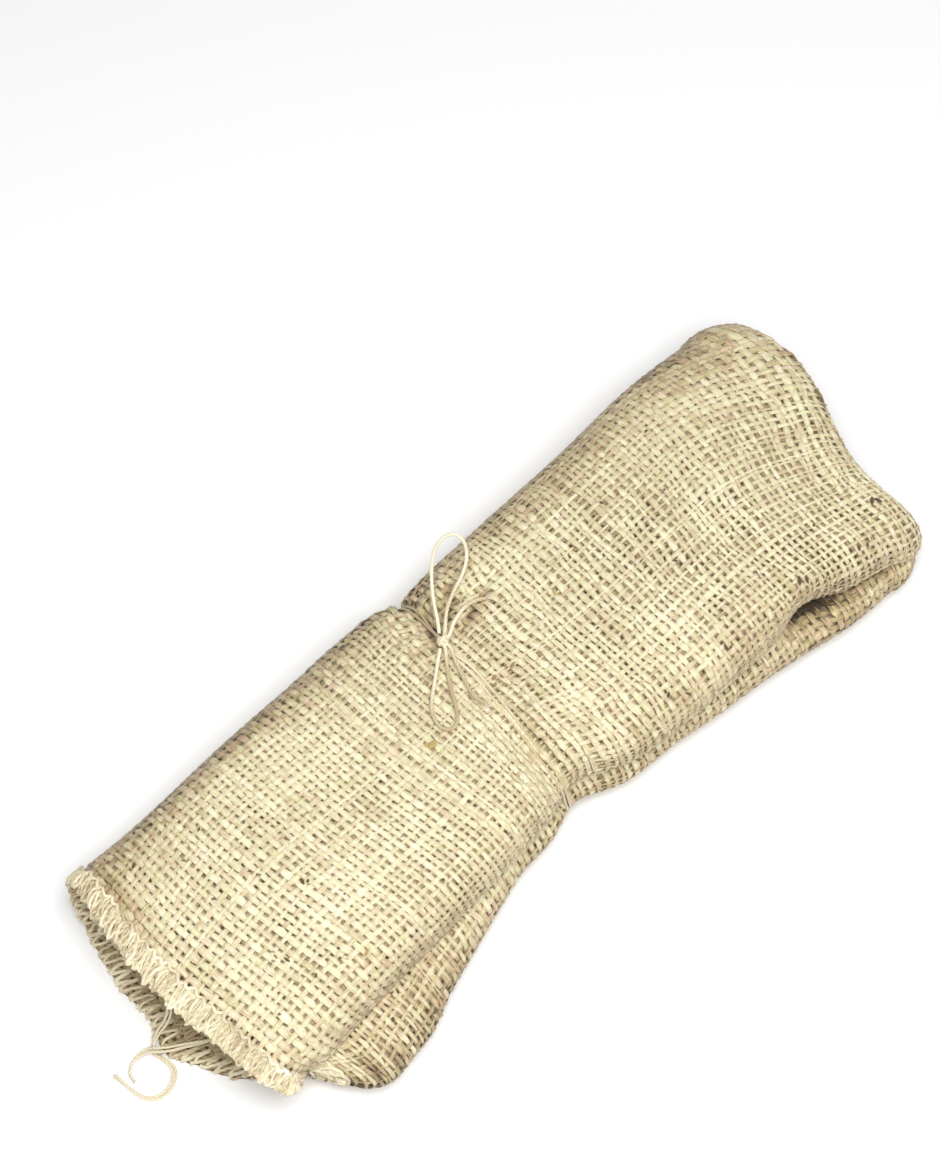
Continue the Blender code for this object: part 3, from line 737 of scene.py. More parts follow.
STITCHED_IN = 0.0095                # where the overlock draws the cloth in, from the cut edge
STITCHED_WIDTH = 0.0010
STITCHED_DEPTH = 0.0010
GATHER_DEPTH = 0.0009
GATHER_REACH = 0.012
GATHER_WIDTH = 0.0075
GROOVE_DEPTHS = (0.0001, 0.0028)    # under each turn of the tie, and more of it past the knot
GROOVE_REACH = 0.0018

# Painted shade in the hollow under the flap, in the slit from it to the fold and behind the lobe's bound
# edge, and darker and paler patches elsewhere.
# A thread in such a place is darker by the depth, as a share of its whole range of tone.
SHADE_AND_TONE_PATCHES = (
    # across  along    reach across, along   depth
    (0.0970,  0.0080,  0.0170, 0.0170,       0.22),    # the open end's far corner
    (0.0550,  0.0130,  0.0340, 0.0070,       0.10),    # beside the overlock
    # Painted shade: a shadow line across the lobe, behind its bound edge.
    (0.2600,  0.0200,  0.0060, 0.0030,       0.50),    # across the lobe, behind its bound edge
    (0.2570,  0.0320,  0.0040, 0.0040,       0.25),
    (0.2620,  0.0400,  0.0200, 0.0480,       0.12),    # the lobe's open half
    (0.0520,  0.0480,  0.0360, 0.0420,       -0.07),   # the paler middle of the open half
    (0.1150,  0.0900,  0.0200, 0.0600,       0.08),    # the open half's far side
    (0.0070,  0.1600,  0.0100, 0.0120,       -0.16),   # paler where the tie gathers the flap
    (0.0080,  0.1760,  0.0130, 0.0160,       0.06),
    (0.1180,  0.1780,  0.0090, 0.0160,       -0.20),   # and the far side
    (0.0450,  0.1750,  0.0250, 0.0220,       -0.04),
    (0.0140,  0.2300,  0.0120, 0.0360,       0.09),    # along the flap's edge, up to the hollow
    # Painted shade round the hollow under the flap, a painted shadow inside it, and in the slit from it
    # to the fold.
    (0.2620,  0.2640,  0.0180, 0.0240,       0.14),    # round the hollow under the flap
    (0.2640,  0.2620,  0.0048, 0.0090,       1.60),    # inside it
    (0.2620,  0.2900,  0.0020, 0.0180,       0.70),    # the slit from it to the fold
    (0.0180,  0.3050,  0.0140, 0.0160,       0.07),    # the fold end
    (0.0700,  0.3020,  0.0400, 0.0440,       0.07),
    (0.1120,  0.3000,  0.0400, 0.0320,       0.06),
)
# Painted shade: the cloth is painted darker in its creases, gathers, grooves and stitched line, by their
# depth.
SHADE_OF_CREASES = 95               # how much darker the cloth is, for each metre of depth
SHADE_OF_GATHERS = 70
SHADE_OF_GROOVES = 110
SHADE_OF_STITCHED = 0.16            # for the full depth
TIE_TOP = 0.047                     # height above which the tie lies on top of the roll
PAST_KNOT_REACH = 0.008             # how soon past the knot the cloth counts as the far side
BEFORE_KNOT_START = 0.010
BEFORE_KNOT_REACH = 0.034
PULL_WAVE = (0.031, 2.0, 0.087)     # the overlock's: its length, its wander and that one's length
PULL_AT_LOBE = (0.253, 0.007)       # place across, and reach
CREASE_ONSET = 0.006                # over which a crease reaches its depth


def tie_line(middle):
    """Where the tie's middle runs along the roll, beside each point of the sheet: it slants across
    the top, and the knot draws it towards the open end as a bell."""
    on_top = (middle[..., 2] / TIE_TOP).clip(0, 1)
    draw, reach = TIE_KINK
    kink = draw * bell(middle[..., 1] - KNOT_PLACE[1], reach) * (on_top > 0.8)
    return TIE_ALONG + TIE_SLANT * (middle[..., 1] - ORIGIN_ACROSS) * on_top + kink


def past_knot(middle):
    """Nought on the lobe's side of the knot, rising to one down the far side of the roll."""
    return ((middle[..., 1] - KNOT_PLACE[1]) / PAST_KNOT_REACH).clip(0, 1)


def before_knot(middle):
    """Nought beside the knot, rising to one as the tie goes down towards the lobe."""
    return ((KNOT_PLACE[1] - BEFORE_KNOT_START - middle[..., 1]) / BEFORE_KNOT_REACH).clip(0, 1)


def wandering_wave(place, length, wander, wander_length):
    """A sine with that length, moved to and fro by a longer one, which is wander high in radians."""
    return np.sin(2 * np.pi * place / length + wander * np.sin(2 * np.pi * place / wander_length))


grid_middle = grid_middle + over_grid(UNEVEN)
plain_middle = grid_middle
plain_normal = grid_normals(grid_middle)
knot_row, knot_column = np.unravel_index(
    np.linalg.norm(grid_middle - np.array(KNOT_PLACE), axis=2).argmin(), grid_middle.shape[:2])
from_knot = grid_across[:, None] - grid_across[knot_row]
beside_knot = grid_along[None, :] - grid_along[knot_column]

# The overlock draws the cloth in by waves, and three times as far at the lobe's corner.
pull = 0.65 + 0.35 * wandering_wave(grid_across, *PULL_WAVE)
pull = pull * (1 + 2.0 * bell(grid_across - PULL_AT_LOBE[0], PULL_AT_LOBE[1]))
stitched = pull[:, None] * bell(grid_along[None, :] - STITCHED_IN, STITCHED_WIDTH)
creases = STITCHED_DEPTH * stitched
for degrees, start, reach, width, depth in KNOT_CREASES:
    ahead = np.cos(np.radians(degrees)) * beside_knot + np.sin(np.radians(degrees)) * from_knot
    aside = np.cos(np.radians(degrees)) * from_knot - np.sin(np.radians(degrees)) * beside_knot
    fade = ((ahead - start) / CREASE_ONSET).clip(0, 1) * (1 - ahead / reach).clip(0, 1)**0.6
    flared = width * (1 + CREASE_FLARE * ahead.clip(0))
    creases = np.maximum(creases, depth * fade * bell(aside, flared))

# The tie draws it into gathers, which are deepest on the far side, and lies in a groove.
tie_distance = grid_along[None, :] - tie_line(grid_middle)
waves = 0.5 + 0.5 * wandering_wave(grid_across, GATHER_WIDTH, 1.9, 0.057)[:, None]
far_side = past_knot(grid_middle)
gathers = GATHER_DEPTH * (0.35 + 1.45 * far_side) * waves**2 * bell(
    tie_distance, GATHER_REACH * (1 + 0.5 * far_side))
beside_turn = np.abs(tie_distance) - TIE_SPACING / 2
groove = (GROOVE_DEPTHS[0] + GROOVE_DEPTHS[1] * far_side) * bell(beside_turn.clip(0), GROOVE_REACH)
grid_middle = plain_middle - plain_normal * (creases + gathers + groove)[..., None]
grid_normal = grid_normals(grid_middle)
grid_cross = unit(np.gradient(grid_middle, axis=0))
# Painted shade of the troughs, with the patches of painted shade and tone.
grid_shade = (SHADE_OF_CREASES * creases + SHADE_OF_GATHERS * gathers + SHADE_OF_GROOVES * groove
              + SHADE_OF_STITCHED * stitched)
grid_shade = (grid_shade[..., None] + over_grid(SHADE_AND_TONE_PATCHES)).clip(-0.2, 1.1)


def from_grid(grid, across, along):
    """A grid's values at places across and along, by the share of each of the four nearest."""
    row = ((across - grid_across[0]) / GRID_STEP).clip(0, len(grid_across) - 1.001)
    column = ((along - grid_along[0]) / (2 * GRID_STEP)).clip(0, len(grid_along) - 1.001)
    low_row, low_column = row.astype(int), column.astype(int)
    row_share, column_share = (row - low_row)[..., None], (column - low_column)[..., None]
    low = grid[low_row, low_column] * (1 - column_share) + grid[low_row, low_column + 1] * column_share
    high = (grid[low_row + 1, low_column] * (1 - column_share)
            + grid[low_row + 1, low_column + 1] * column_share)
    return low * (1 - row_share) + high * row_share


def cloth_at(across, along, lift):
    """A point of the roll: its place on the sheet's middle, and how far out of the roll it lies.

    The flap's corner is rounded: within its radius, each of the two distances from the corner's
    centre is scaled by the root of one less half the other's square, as a share of the radius."""
    q, p = (CORNER_RADIUS - across) / CORNER_RADIUS, (CORNER_RADIUS - along) / CORNER_RADIUS
    corner = (q > 0) & (p > 0)
    round_across = CORNER_RADIUS * (1 - q * np.sqrt((1 - p**2 / 2).clip(0.1)))
    round_along = CORNER_RADIUS * (1 - p * np.sqrt((1 - q**2 / 2).clip(0.1)))
    across = np.where(corner, round_across, across)
    along = np.where(corner, round_along, along)
    outwards = from_grid(grid_normal, across, along)
    return from_grid(grid_middle, across, along) + outwards * lift[..., None]


# The outside of the sheet as a line in its own thickness, from the open end, over the fold and
# back along the inside: a run from 0 to the cloth's length, with its place along and its lift.
past_fold = 1 - (1 - np.linspace(0, 1, 60))**2
bulge = SHEET_THICKNESS / 2 + FOLD_SWELL * np.sin(np.pi * (past_fold / 0.9).clip(0, 1))
bulge = bulge * np.sqrt((1 - past_fold**6).clip(0))
flat_along = np.linspace(-GRID_PAST, ROLL_LENGTH - FOLD_REACH, 200)[:-1]
out_along = np.concatenate([flat_along, ROLL_LENGTH - FOLD_REACH * (1 - past_fold)])
out_lift = np.concatenate([0 * flat_along + SHEET_THICKNESS / 2, bulge])
face_line = np.stack([np.concatenate([out_along, out_along[-2::-1]]),
                      np.concatenate([out_lift, -out_lift[-2::-1]])], axis=1)
face_run = np.concatenate([[0], np.cumsum(np.linalg.norm(np.diff(face_line, axis=0), axis=1))])
face_run = face_run - np.interp(0.0, out_along, face_run[:len(out_along)])
face_ahead = unit(np.gradient(face_line, face_run, axis=0))
RUN_AT_FOLD = face_run[len(out_along) - 1]
RUN_END = 2 * RUN_AT_FOLD - LEAF_RECESS


def ply_at(across, run, depth):
    """A point of the outer ply, by its place across the cloth, its run along it from the open end
    round the fold, and its depth under the face; with the direction straight out of the face.

    Across runs below nought round the flap's free edge: a half circle, then back underneath."""
    along, lift = (np.interp(run, face_run, face_line[:, axis]) for axis in (0, 1))
    ahead = np.stack([np.interp(run, face_run, face_ahead[:, axis]) for axis in (0, 1)], axis=-1)
    away_along, away_lift = -unit(ahead)[..., 1], unit(ahead)[..., 0]
    thinner = 0.7 + 0.3 * (np.minimum(np.abs(across), CLOTH_WIDTH - across) / 0.006).clip(0, 1)
    turn = (-across / FLAP_ROUNDING).clip(0, np.pi)
    underneath = np.maximum(-across - np.pi * FLAP_ROUNDING, 0.0)
    reach = (lift - depth * away_lift) * thinner
    place = np.where(across >= 0, across, underneath - np.abs(reach) * np.sin(turn))
    along = along - depth * away_along
    point = cloth_at(place, along, reach * np.cos(turn))
    out = (from_grid(grid_normal, place, along) * (away_lift * np.cos(turn))[..., None]
           - from_grid(grid_cross, place, along) * np.sin(turn)[..., None]
           + away_along[..., None] * np.array([1.0, 0.0, 0.0]))
    return point, unit(out)


def sheet_part(outer, inner, across, run):
    """A closed thin sheet from two grids of points, one for each face, with strips round its rim.

    Its map has the place across the cloth, and half the share of the run, from a half up inside."""
    rows, columns, _ = outer.shape
    number = np.arange(rows * columns).reshape(rows, columns)
    behind = number + rows * columns
    front = np.stack([number[:-1, :-1], number[1:, :-1], number[1:, 1:], number[:-1, 1:]], -1)
    rim = np.concatenate([number[:, 0], number[-1, 1:], number[-2::-1, -1], number[0, -2:0:-1]])
    after = np.roll(rim, -1)
    strips = np.stack([after, rim, rim + rows * columns, after + rows * columns], -1)
    quads = np.concatenate([front.reshape(-1, 4),
                            (front + rows * columns)[..., ::-1].reshape(-1, 4), strips])
    u = np.tile(np.repeat(across, columns), 2)
    v = np.concatenate([np.tile(0.49 * run / run[-1], rows), np.tile(0.51 + 0.49 * run / run[-1], rows)])
    spots = np.stack([u, v], axis=1)
    quad_map = spots[quads]
    quad_map[-len(strips):, 2:] = quad_map[-len(strips):, 1::-1]
    return {"points": np.concatenate([outer.reshape(-1, 3), inner.reshape(-1, 3)]), "quads": quads,
            "fans": np.zeros((0, 3), int), "quad_map": quad_map, "fan_map": np.zeros((0, 3, 2)),
            "tone_and_shade": np.ones(2 * rows * columns), "rows": 1}


THREAD_PITCH = 0.00272              # from one thread to the next, both ways
LINING_DEPTH = 0.00115              # under the outer ply's face
LINING_THICKNESS = 0.0006

# The lining's rows and columns lie closest at the flap's edge, at the tie and round the fold.
FOLD_START = 0.296
fold_stop = 2 * RUN_AT_FOLD - FOLD_START
lining_across = np.concatenate([np.linspace(0.0002, 0.0060, 5),
                                np.linspace(0.0060, CLOTH_WIDTH - 0.0002, 131)[1:]])
lining_run = np.concatenate([
    np.linspace(start, end, count)[skipped:] for start, end, count, skipped in (
        (0.0006, 0.135, 46, 0), (0.135, 0.175, 22, 1), (0.175, FOLD_START, 40, 1),
        (FOLD_START, fold_stop, 41, 1), (fold_stop, RUN_END - 0.0006, 50, 1))])
lining_grid = np.meshgrid(lining_across, lining_run, indexing="ij")
outer_face, _ = ply_at(*lining_grid, LINING_DEPTH)
inner_face, _ = ply_at(*lining_grid, LINING_DEPTH + LINING_THICKNESS)
outer_face[..., 2] = np.maximum(outer_face[..., 2], 0.0006)
inner_face[..., 2] = np.maximum(inner_face[..., 2], 0.0012)
lining_part = sheet_part(outer_face, inner_face, lining_across, lining_run)
# Painted shade: the lining is dimmed where the outer threads above it are painted shaded.
lining_along = np.interp(lining_grid[1], face_run, face_line[:, 0])
lining_shade = from_grid(grid_shade, lining_grid[0], lining_along)[..., 0] * (
    (lining_grid[1] < RUN_AT_FOLD) & (lining_grid[0] < 0.300))
lining_part["tone_and_shade"] = np.tile((1.0 - 0.8 * lining_shade).clip(0.15, 1.1).ravel(), 2)


def lining_finish():
    """Hessian as colour and relief alone: two sets of waves make threads that pass over by turns,
    painted dark as the shade behind the outer ply, and darker still low between them.
    """
    made = bpy.data.materials.new("hessian_lining")
    made.use_nodes = True
    tree = made.node_tree
    shader = tree.nodes["Principled BSDF"]
    shader.inputs["Roughness"].default_value = 0.95
    shader.inputs["Specular IOR Level"].default_value = 0.2
    link = tree.links.new
    cloth_map = node(tree, "ShaderNodeUVMap", (-1300, 0))
    cloth_map.uv_map = "thread"
    threads = node(tree, "ShaderNodeMapping", (-1100, 0),
                   Scale=(1.0 / THREAD_PITCH, RUN_END / 0.49 / THREAD_PITCH, 1.0))
    link(cloth_map.outputs["UV"], threads.inputs["Vector"])
    wander = node(tree, "ShaderNodeTexNoise", (-1100, -300), Scale=0.35, Detail=2.0)
    link(threads.outputs["Vector"], wander.inputs["Vector"])
    moved = node(tree, "ShaderNodeVectorMath", (-900, 0))
    moved.operation = "MULTIPLY_ADD"
    moved.inputs[1].default_value = (1.3, 1.3, 0.0)
    link(wander.outputs["Color"], moved.inputs[0])
    link(threads.outputs["Vector"], moved.inputs[2])
    axes = node(tree, "ShaderNodeSeparateXYZ", (-720, 0))
    link(moved.outputs["Vector"], axes.inputs["Vector"])

    def worked(operation, first, second=None):
        """The output of one sum on two values, each a number or another node's output."""
        made_node = node(tree, "ShaderNodeMath", (-500, 0))
        made_node.operation = operation
        for slot_number, value in enumerate((first, second)):
            if isinstance(value, (int, float)):
                made_node.inputs[slot_number].default_value = value
            elif value is not None:
                link(value, made_node.inputs[slot_number])
        return made_node.outputs["Value"]

    # A thread's roundness is the sine of pi times its place in the pitch. Threads of the two
    # sets take turns on top, as the product of two half-speed waves changes sign.
    sines = [worked("SINE", worked("MULTIPLY", axes.outputs[axis], np.pi)) for axis in ("X", "Y")]
    round_each = [worked("ABSOLUTE", sine) for sine in sines]
    turns = worked("MULTIPLY", worked("MULTIPLY", *sines), 0.35)
    height = worked("MAXIMUM", worked("ADD", round_each[0], turns),
                    worked("SUBTRACT", round_each[1], turns))
    # Painted shade: the lining is dark, darkest in its low parts.
    tone = node(tree, "ShaderNodeValToRGB", (0, 0))
    tone.color_ramp.elements[0].position = 0.35
    tone.color_ramp.elements[0].color = (0.075, 0.052, 0.025, 1.0)
    tone.color_ramp.elements[1].position = 1.1
    tone.color_ramp.elements[1].color = (0.40, 0.31, 0.18, 1.0)
    link(height, tone.inputs["Fac"])
    # And dimmed by the painted shade of the creases and patches outside it.
    tone_and_shade = tree.nodes.new("ShaderNodeAttribute")
    tone_and_shade.attribute_name = "tone_and_shade"
    dimmed = node(tree, "ShaderNodeVectorMath", (250, 0))
    dimmed.operation = "SCALE"
    link(tone.outputs["Color"], dimmed.inputs["Vector"])
    link(tone_and_shade.outputs["Fac"], dimmed.inputs["Scale"])
    link(dimmed.outputs["Vector"], shader.inputs["Base Color"])
    bump = node(tree, "ShaderNodeBump", (0, -300), Strength=0.7, Distance=0.0006)
    link(height, bump.inputs["Height"])
    link(bump.outputs["Normal"], shader.inputs["Normal"])
    return made


lining = add_piece("sack_inner_panel", lining_part, lining_finish())
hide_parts("sack")

# ---------------------------------------------------------------------------- sack's outer ply
# The outer panel of the sack is woven here thread by thread: plain weave, about 37 threads to
# 10 cm both ways, of coarse jute yarn that is thick and thin by turns. Threads along the roll are
# finer and further apart than those across it, so the open spots between them are long slots.
ACROSS_THREADS = 150                # threads that lie along the roll, counted across the cloth
WRAPPED_THREADS = 3                 # of them, those that lie under the flap's free edge
OUTER_THREADS = 113                 # those on the outside of the roll, wrapped ones among them
RUN_THREADS = int((RUN_END - 0.0014) / THREAD_PITCH)
FOLD_THREADS = int((RUN_AT_FOLD + 0.022) / THREAD_PITCH)
END_THREADS = 12                    # how many threads in the weave goes at the open end's core
CORE_FOLD_THREADS = 20              # and at the fold's
ALONG_RISE = 0.00036                # of a thread's middle over or under the ply's own middle
CROSS_RISE = 0.00022
WEAVE_DEPTH = 0.00076               # of the ply's middle under its face
ALONG_HALF_HEIGHT = 0.00030
CROSS_HALF_HEIGHT = 0.00042
dice = np.random.default_rng(20)


def blurred_noise(rows, columns, row_reach, column_reach):
    """Random values with a spread of one, blurred by bells of those reaches, in threads."""
    shape = (rows + 48, columns + 48)
    row_wave, column_wave = np.fft.fftfreq(shape[0])[:, None], np.fft.fftfreq(shape[1])[None, :]
    passed = np.exp(-2 * np.pi**2 * ((row_reach * row_wave)**2 + (column_reach * column_wave)**2))
    blurred = np.fft.ifft2(np.fft.fft2(dice.normal(size=shape)) * passed).real[:rows, :columns]
    return (blurred - blurred.mean()) / blurred.std()


def smooth_step(values):
    """Nought below nought, one above one, and an even S between them."""
    share = values.clip(0, 1)
    return share**2 * (3 - 2 * share)


# Where each two threads cross. Each thread lies a little off its even place, and wanders, but
# less so near the sheet's edges. The weave is most even on top of the open half.
crossings = (ACROSS_THREADS, RUN_THREADS)
even_across = (np.arange(ACROSS_THREADS) - WRAPPED_THREADS + 0.5)[:, None]
even_run = (np.arange(RUN_THREADS) + 0.5)[None, :]
from_side = (np.arange(ACROSS_THREADS) / 6.0).clip(0, 1)[:, None]
off_across = from_side * (0.10 * dice.normal(size=(ACROSS_THREADS, 1))
                          + 0.10 * blurred_noise(*crossings, 1.0, 9.0)
                          + 0.50 * blurred_noise(*crossings, 18, 30))
rough = np.maximum(smooth_step((even_run - 44) / 24), smooth_step((even_across - 28) / 12))
from_ends = (np.minimum(even_run, RUN_THREADS - even_run) / 6.0).clip(0, 1)
off_run = from_ends * (0.09 * dice.normal(size=(1, RUN_THREADS))
                       + 0.10 * blurred_noise(*crossings, 9.0, 1.0)
                       + 0.19 * rough * blurred_noise(*crossings, 1.4, 0.7)
                       + 0.60 * blurred_noise(*crossings, 22, 26))

# Threads across the roll bow towards the tie where they near the flap's edge, on the open half.
# Threads along it bow towards that edge where they go round the fold.
BOW_TO_TIE = 0.0065
BOW_AT_FOLD = 0.018
BOW_START = 0.255
BOW_REACH = 0.060
cross_run = THREAD_PITCH * (even_run + off_run)
leaning = BOW_TO_TIE * smooth_step(cross_run / 0.050) * smooth_step((0.145 - cross_run) / 0.040)
cross_run = cross_run + leaning * bell(THREAD_PITCH * even_across, 0.040)
before_fold = ((cross_run - BOW_START) / BOW_REACH).clip(0, 1)**1.6
after_fold = ((2 * RUN_AT_FOLD - BOW_START - cross_run) / BOW_REACH).clip(0, 1)
cross_across = THREAD_PITCH * (even_across + off_across)
drawn = BOW_AT_FOLD * before_fold * after_fold * bell(cross_across - 0.080, 0.050)
cross_across = (cross_across - drawn).clip(None, CLOTH_WIDTH - 0.0006)
over = (-1.0) ** (np.arange(ACROSS_THREADS)[:, None] + np.arange(RUN_THREADS)[None, :])
cross_point, cross_out = ply_at(cross_across, cross_run, WEAVE_DEPTH)


def between(values):
    """Values with one more between each two: nine sixteenths of each near one, less one
    sixteenth of each next one."""
    ahead = 2 * values[:, :1] - values[:, 1:2]
    behind = 2 * values[:, -1:] - values[:, -2:-1]
    padded = np.concatenate([ahead, values, behind], axis=1)
    middle = (9 * (padded[:, 1:-2] + padded[:, 2:-1]) - padded[:, :-3] - padded[:, 3:]) / 16
    woven = np.empty((values.shape[0], 2 * values.shape[1] - 1, *values.shape[2:]))
    woven[:, ::2], woven[:, 1::2] = values, middle
    return woven


def halfway(values):
    """Values with the mean of each two between them."""
    woven = np.empty((values.shape[0], 2 * values.shape[1] - 1))
    woven[:, ::2], woven[:, 1::2] = values, (values[:, 1:] + values[:, :-1]) / 2
    return woven


def spacing_of(points):
    """Each thread's distance from its two neighbours, as their mean: rows are threads."""
    apart = np.linalg.norm(np.diff(points, axis=0), axis=2)
    return (np.concatenate([apart[:1], apart]) + np.concatenate([apart, apart[-1:]])) / 2


YARN_OUTLINE = np.array((
    # sideways   up
    (-0.95,     -0.50),
    (-0.74,     0.52),
    (0.00,      0.90),
    (0.74,      0.52),
    (0.95,      -0.50),
))


def yarns(points, out, up, half_width, half_height, weave_rise, shade, groove_shade):
    """Threads through rows of crossings: flat-bottomed tubes that rise and dip by turns.

    A thread is a ninth wider where it passes over another, and as much narrower under it, and
    its edges are a little ragged. Shade is how far its tone is lowered, most of it painted shade, and
    the last argument how much further it is lowered between two crossings, as painted shade where it
    dips into the groove between them."""
    path = between(points)
    rise = unit(between(out))
    lifted = np.zeros(path.shape[:2])
    lifted[:, ::2] = up
    path = path + rise * (lifted * halfway(weave_rise))[..., None]
    ahead = unit(np.gradient(path, axis=1))
    side = unit(np.cross(ahead, rise))
    rise = np.cross(side, ahead)
    ragged, astray = dice.normal(size=(2, *path.shape[:2]))
    wide = halfway(half_width) * (1 + lifted / 9 + 0.08 * ragged)
    high = halfway(half_height)
    path = path + side * (0.06 * wide * astray)[..., None]
    rings = (path[:, :, None] + side[:, :, None] * (wide[..., None] * YARN_OUTLINE[:, 0])[..., None]
             + rise[:, :, None] * (high[..., None] * YARN_OUTLINE[:, 1])[..., None])
    rings[..., 2] = np.maximum(rings[..., 2], 0.0002)
    # Painted light and shade: a thread is painted lighter where it passes over another, lighter on its
    # top and darker down its sides.
    tone = 0.63 + 0.06 * lifted - halfway(shade)
    tone[:, 1::2] -= halfway(groove_shade)[:, 1::2]
    tone_and_shade = tone[..., None] + np.array([-0.25, 0.00, 0.06, 0.00, -0.25])
    return tube_part(rings, tone_and_shade)


# How much of its pitch each thread fills. Threads across the roll are broad, so the open spots
# are slots, but near both ends the two sets are more alike and the spots squarer. The cloth is
# closer where it is tied, bound, pressed on the far side or drawn tight at the fold, opener at
# the flap's corner by the fold, and has patches of both. Each thread has its own slubs.
cross_along = np.interp(cross_run, face_run, face_line[:, 0])
on_outside = (cross_run < RUN_AT_FOLD) * (cross_across < OUTER_THREADS * THREAD_PITCH)
grid_tied = bell(tie_distance, 0.020) * (0.25 + 0.75 * far_side)
tied = on_outside * from_grid(grid_tied[..., None], cross_across.clip(0), cross_along)[..., 0]
squarer = 0.6 * smooth_step((0.115 - cross_run) / 0.07) + smooth_step((cross_run - 0.170) / 0.06)
flank = smooth_step((0.97 - cross_out[..., 2]) / 0.45) * (cross_across < 0.200)
open_patch = 0.8 * blurred_noise(*crossings, 12, 12) + 0.6 * blurred_noise(*crossings, 2.5, 2.5)
bound = smooth_step((0.0085 - np.minimum(cross_run, RUN_END - cross_run)) / 0.003)
by_fold = smooth_step((cross_run - 0.235) / 0.04) * bell(cross_across, 0.055) * on_outside
tight = smooth_step((cross_run - 0.215) / 0.04) * smooth_step((cross_across - 0.055) / 0.035)
tight = tight * on_outside
uneven = blurred_noise(*crossings, 0.5, 0.5)
FILLS = (
    # cause       along    across
    (squarer,     0.080,   -0.080),
    (flank,       0.140,   0.060),
    (by_fold,     -0.120,  -0.080),
    (tight,       0.160,   0.080),
    (uneven,      0.055,   -0.055),
    (tied,        0.240,   -0.100),
    (bound,       0.300,   0.160),
    (open_patch,  -0.070,  -0.045),
)
along_fill = 0.550 + sum(cause * share for cause, share, _ in FILLS) + (
    0.065 * dice.normal(size=(ACROSS_THREADS, 1)) + 0.085 * blurred_noise(*crossings, 0.0, 1.6))
cross_fill = 0.885 + sum(cause * share for cause, _, share in FILLS) + (
    0.035 * dice.normal(size=(1, RUN_THREADS)) + 0.070 * blurred_noise(*crossings, 1.6, 0.0))
along_fill, cross_fill = along_fill.clip(0.30, 0.95), cross_fill.clip(0.50, 1.00)
along_half = along_fill * spacing_of(cross_point) / 2
cross_half = cross_fill * spacing_of(cross_point.transpose(1, 0, 2)).T / 2
along_high = ALONG_HALF_HEIGHT * (0.70 + 0.55 * along_fill)
cross_high = CROSS_HALF_HEIGHT * (0.55 + 0.55 * cross_fill)
along_rise = ALONG_RISE * (0.52 + 0.45 * squarer + 0.5 * tied)
cross_rise = np.full(crossings, CROSS_RISE)
# Painted shade where threads along the roll dip into the grooves between crossings, less where the spots
# are squarer.
along_groove_shade = 0.09 * (1 - 0.8 * squarer)
cross_groove_shade = np.zeros(crossings)

# Threads are painted darker in the creases and down the roll's sides, as shade. On the far side that
# painted shade is a band along its upper edge, and the cloth below it is paler again.
SIDE_SHADE = 0.34                   # of cloth that stands upright, past what lies flat
FAR_SHADE = 0.33                    # more of it, where it faces the far side
MOST_SHADES = (0.29, 0.33)          # by the slope alone, and by slope and side together
past_crown = (cross_out[..., 1] > 0) * (1 - smooth_step(cross_out[..., 2] / 0.6))
by_slope = (SIDE_SHADE * (1 - cross_out[..., 2])).clip(0, MOST_SHADES[0]) * (1 - 0.6 * past_crown)
by_side = FAR_SHADE * cross_out[..., 1].clip(0, 1) * (1 - past_crown)
by_place = from_grid(grid_shade, cross_across.clip(0), cross_along)[..., 0] * on_outside
shade = (by_slope + by_side).clip(0, MOST_SHADES[1]) + 0.02 * tight + by_place

# No two lengths of yarn between crossings are quite alike, and those along the roll are duller.
cross_shade = shade + 0.03 * dice.normal(size=crossings)
along_shade = shade + 0.03 + 0.03 * dice.normal(size=crossings)


def block(threads, crossed, lengthwise):
    """The threads of one set over a range of those they cross, as a part."""
    if lengthwise:
        grids = (cross_point, cross_out, over, along_half, along_high, along_rise, along_shade,
                 along_groove_shade)
        return yarns(*(grid[threads, crossed] for grid in grids))
    grids = (cross_point, cross_out, -over, cross_half, cross_high, cross_rise, cross_shade,
             cross_groove_shade)
    return yarns(*(np.swapaxes(grid[crossed, threads], 0, 1) for grid in grids))


JUTE_COLOURS = ((0.16, 0.108, 0.045), (0.465, 0.350, 0.185), (0.715, 0.645, 0.42),
                (0.87, 0.845, 0.63))
jute = thread_finish("jute_yarn", JUTE_COLOURS, grain=1.30, fleck=(0.09, 0.055, 0.025),
                     deepest=(0.048, 0.030, 0.012), roughness=0.92, hue_reach=0.021)
half_outer = OUTER_THREADS // 2
half_fold = FOLD_THREADS // 2

# The core shows at the roll's ends alone, and so does the inner leaf at the open end, so the
# threads there stop a little way in. The inner leaf's start past those wrapped round the flap.
at_open_end = slice(0, END_THREADS)
at_fold = slice(FOLD_THREADS - CORE_FOLD_THREADS, FOLD_THREADS)
at_inner_leaf = slice(RUN_THREADS - END_THREADS, None)
in_core = slice(OUTER_THREADS, None)
off_flap = slice(WRAPPED_THREADS + 3, None)
weave_pieces = {
    "threads_along_flap": [block(slice(0, half_outer), slice(0, FOLD_THREADS), True)],
    "threads_along_lobe": [block(slice(half_outer, OUTER_THREADS), slice(0, FOLD_THREADS), True)],
    "threads_across_open_half": [block(slice(0, half_fold), slice(0, OUTER_THREADS), False)],
    "threads_across_fold_half": [block(slice(half_fold, FOLD_THREADS), slice(0, OUTER_THREADS), False)],
    "threads_of_core_ends": [
        block(in_core, at_open_end, True), block(at_open_end, in_core, False),
        block(in_core, at_fold, True), block(at_fold, in_core, False),
        block(off_flap, at_inner_leaf, True), block(at_inner_leaf, off_flap, False)],
}
woven = [add_piece(name, joined(parts), jute) for name, parts in weave_pieces.items()]

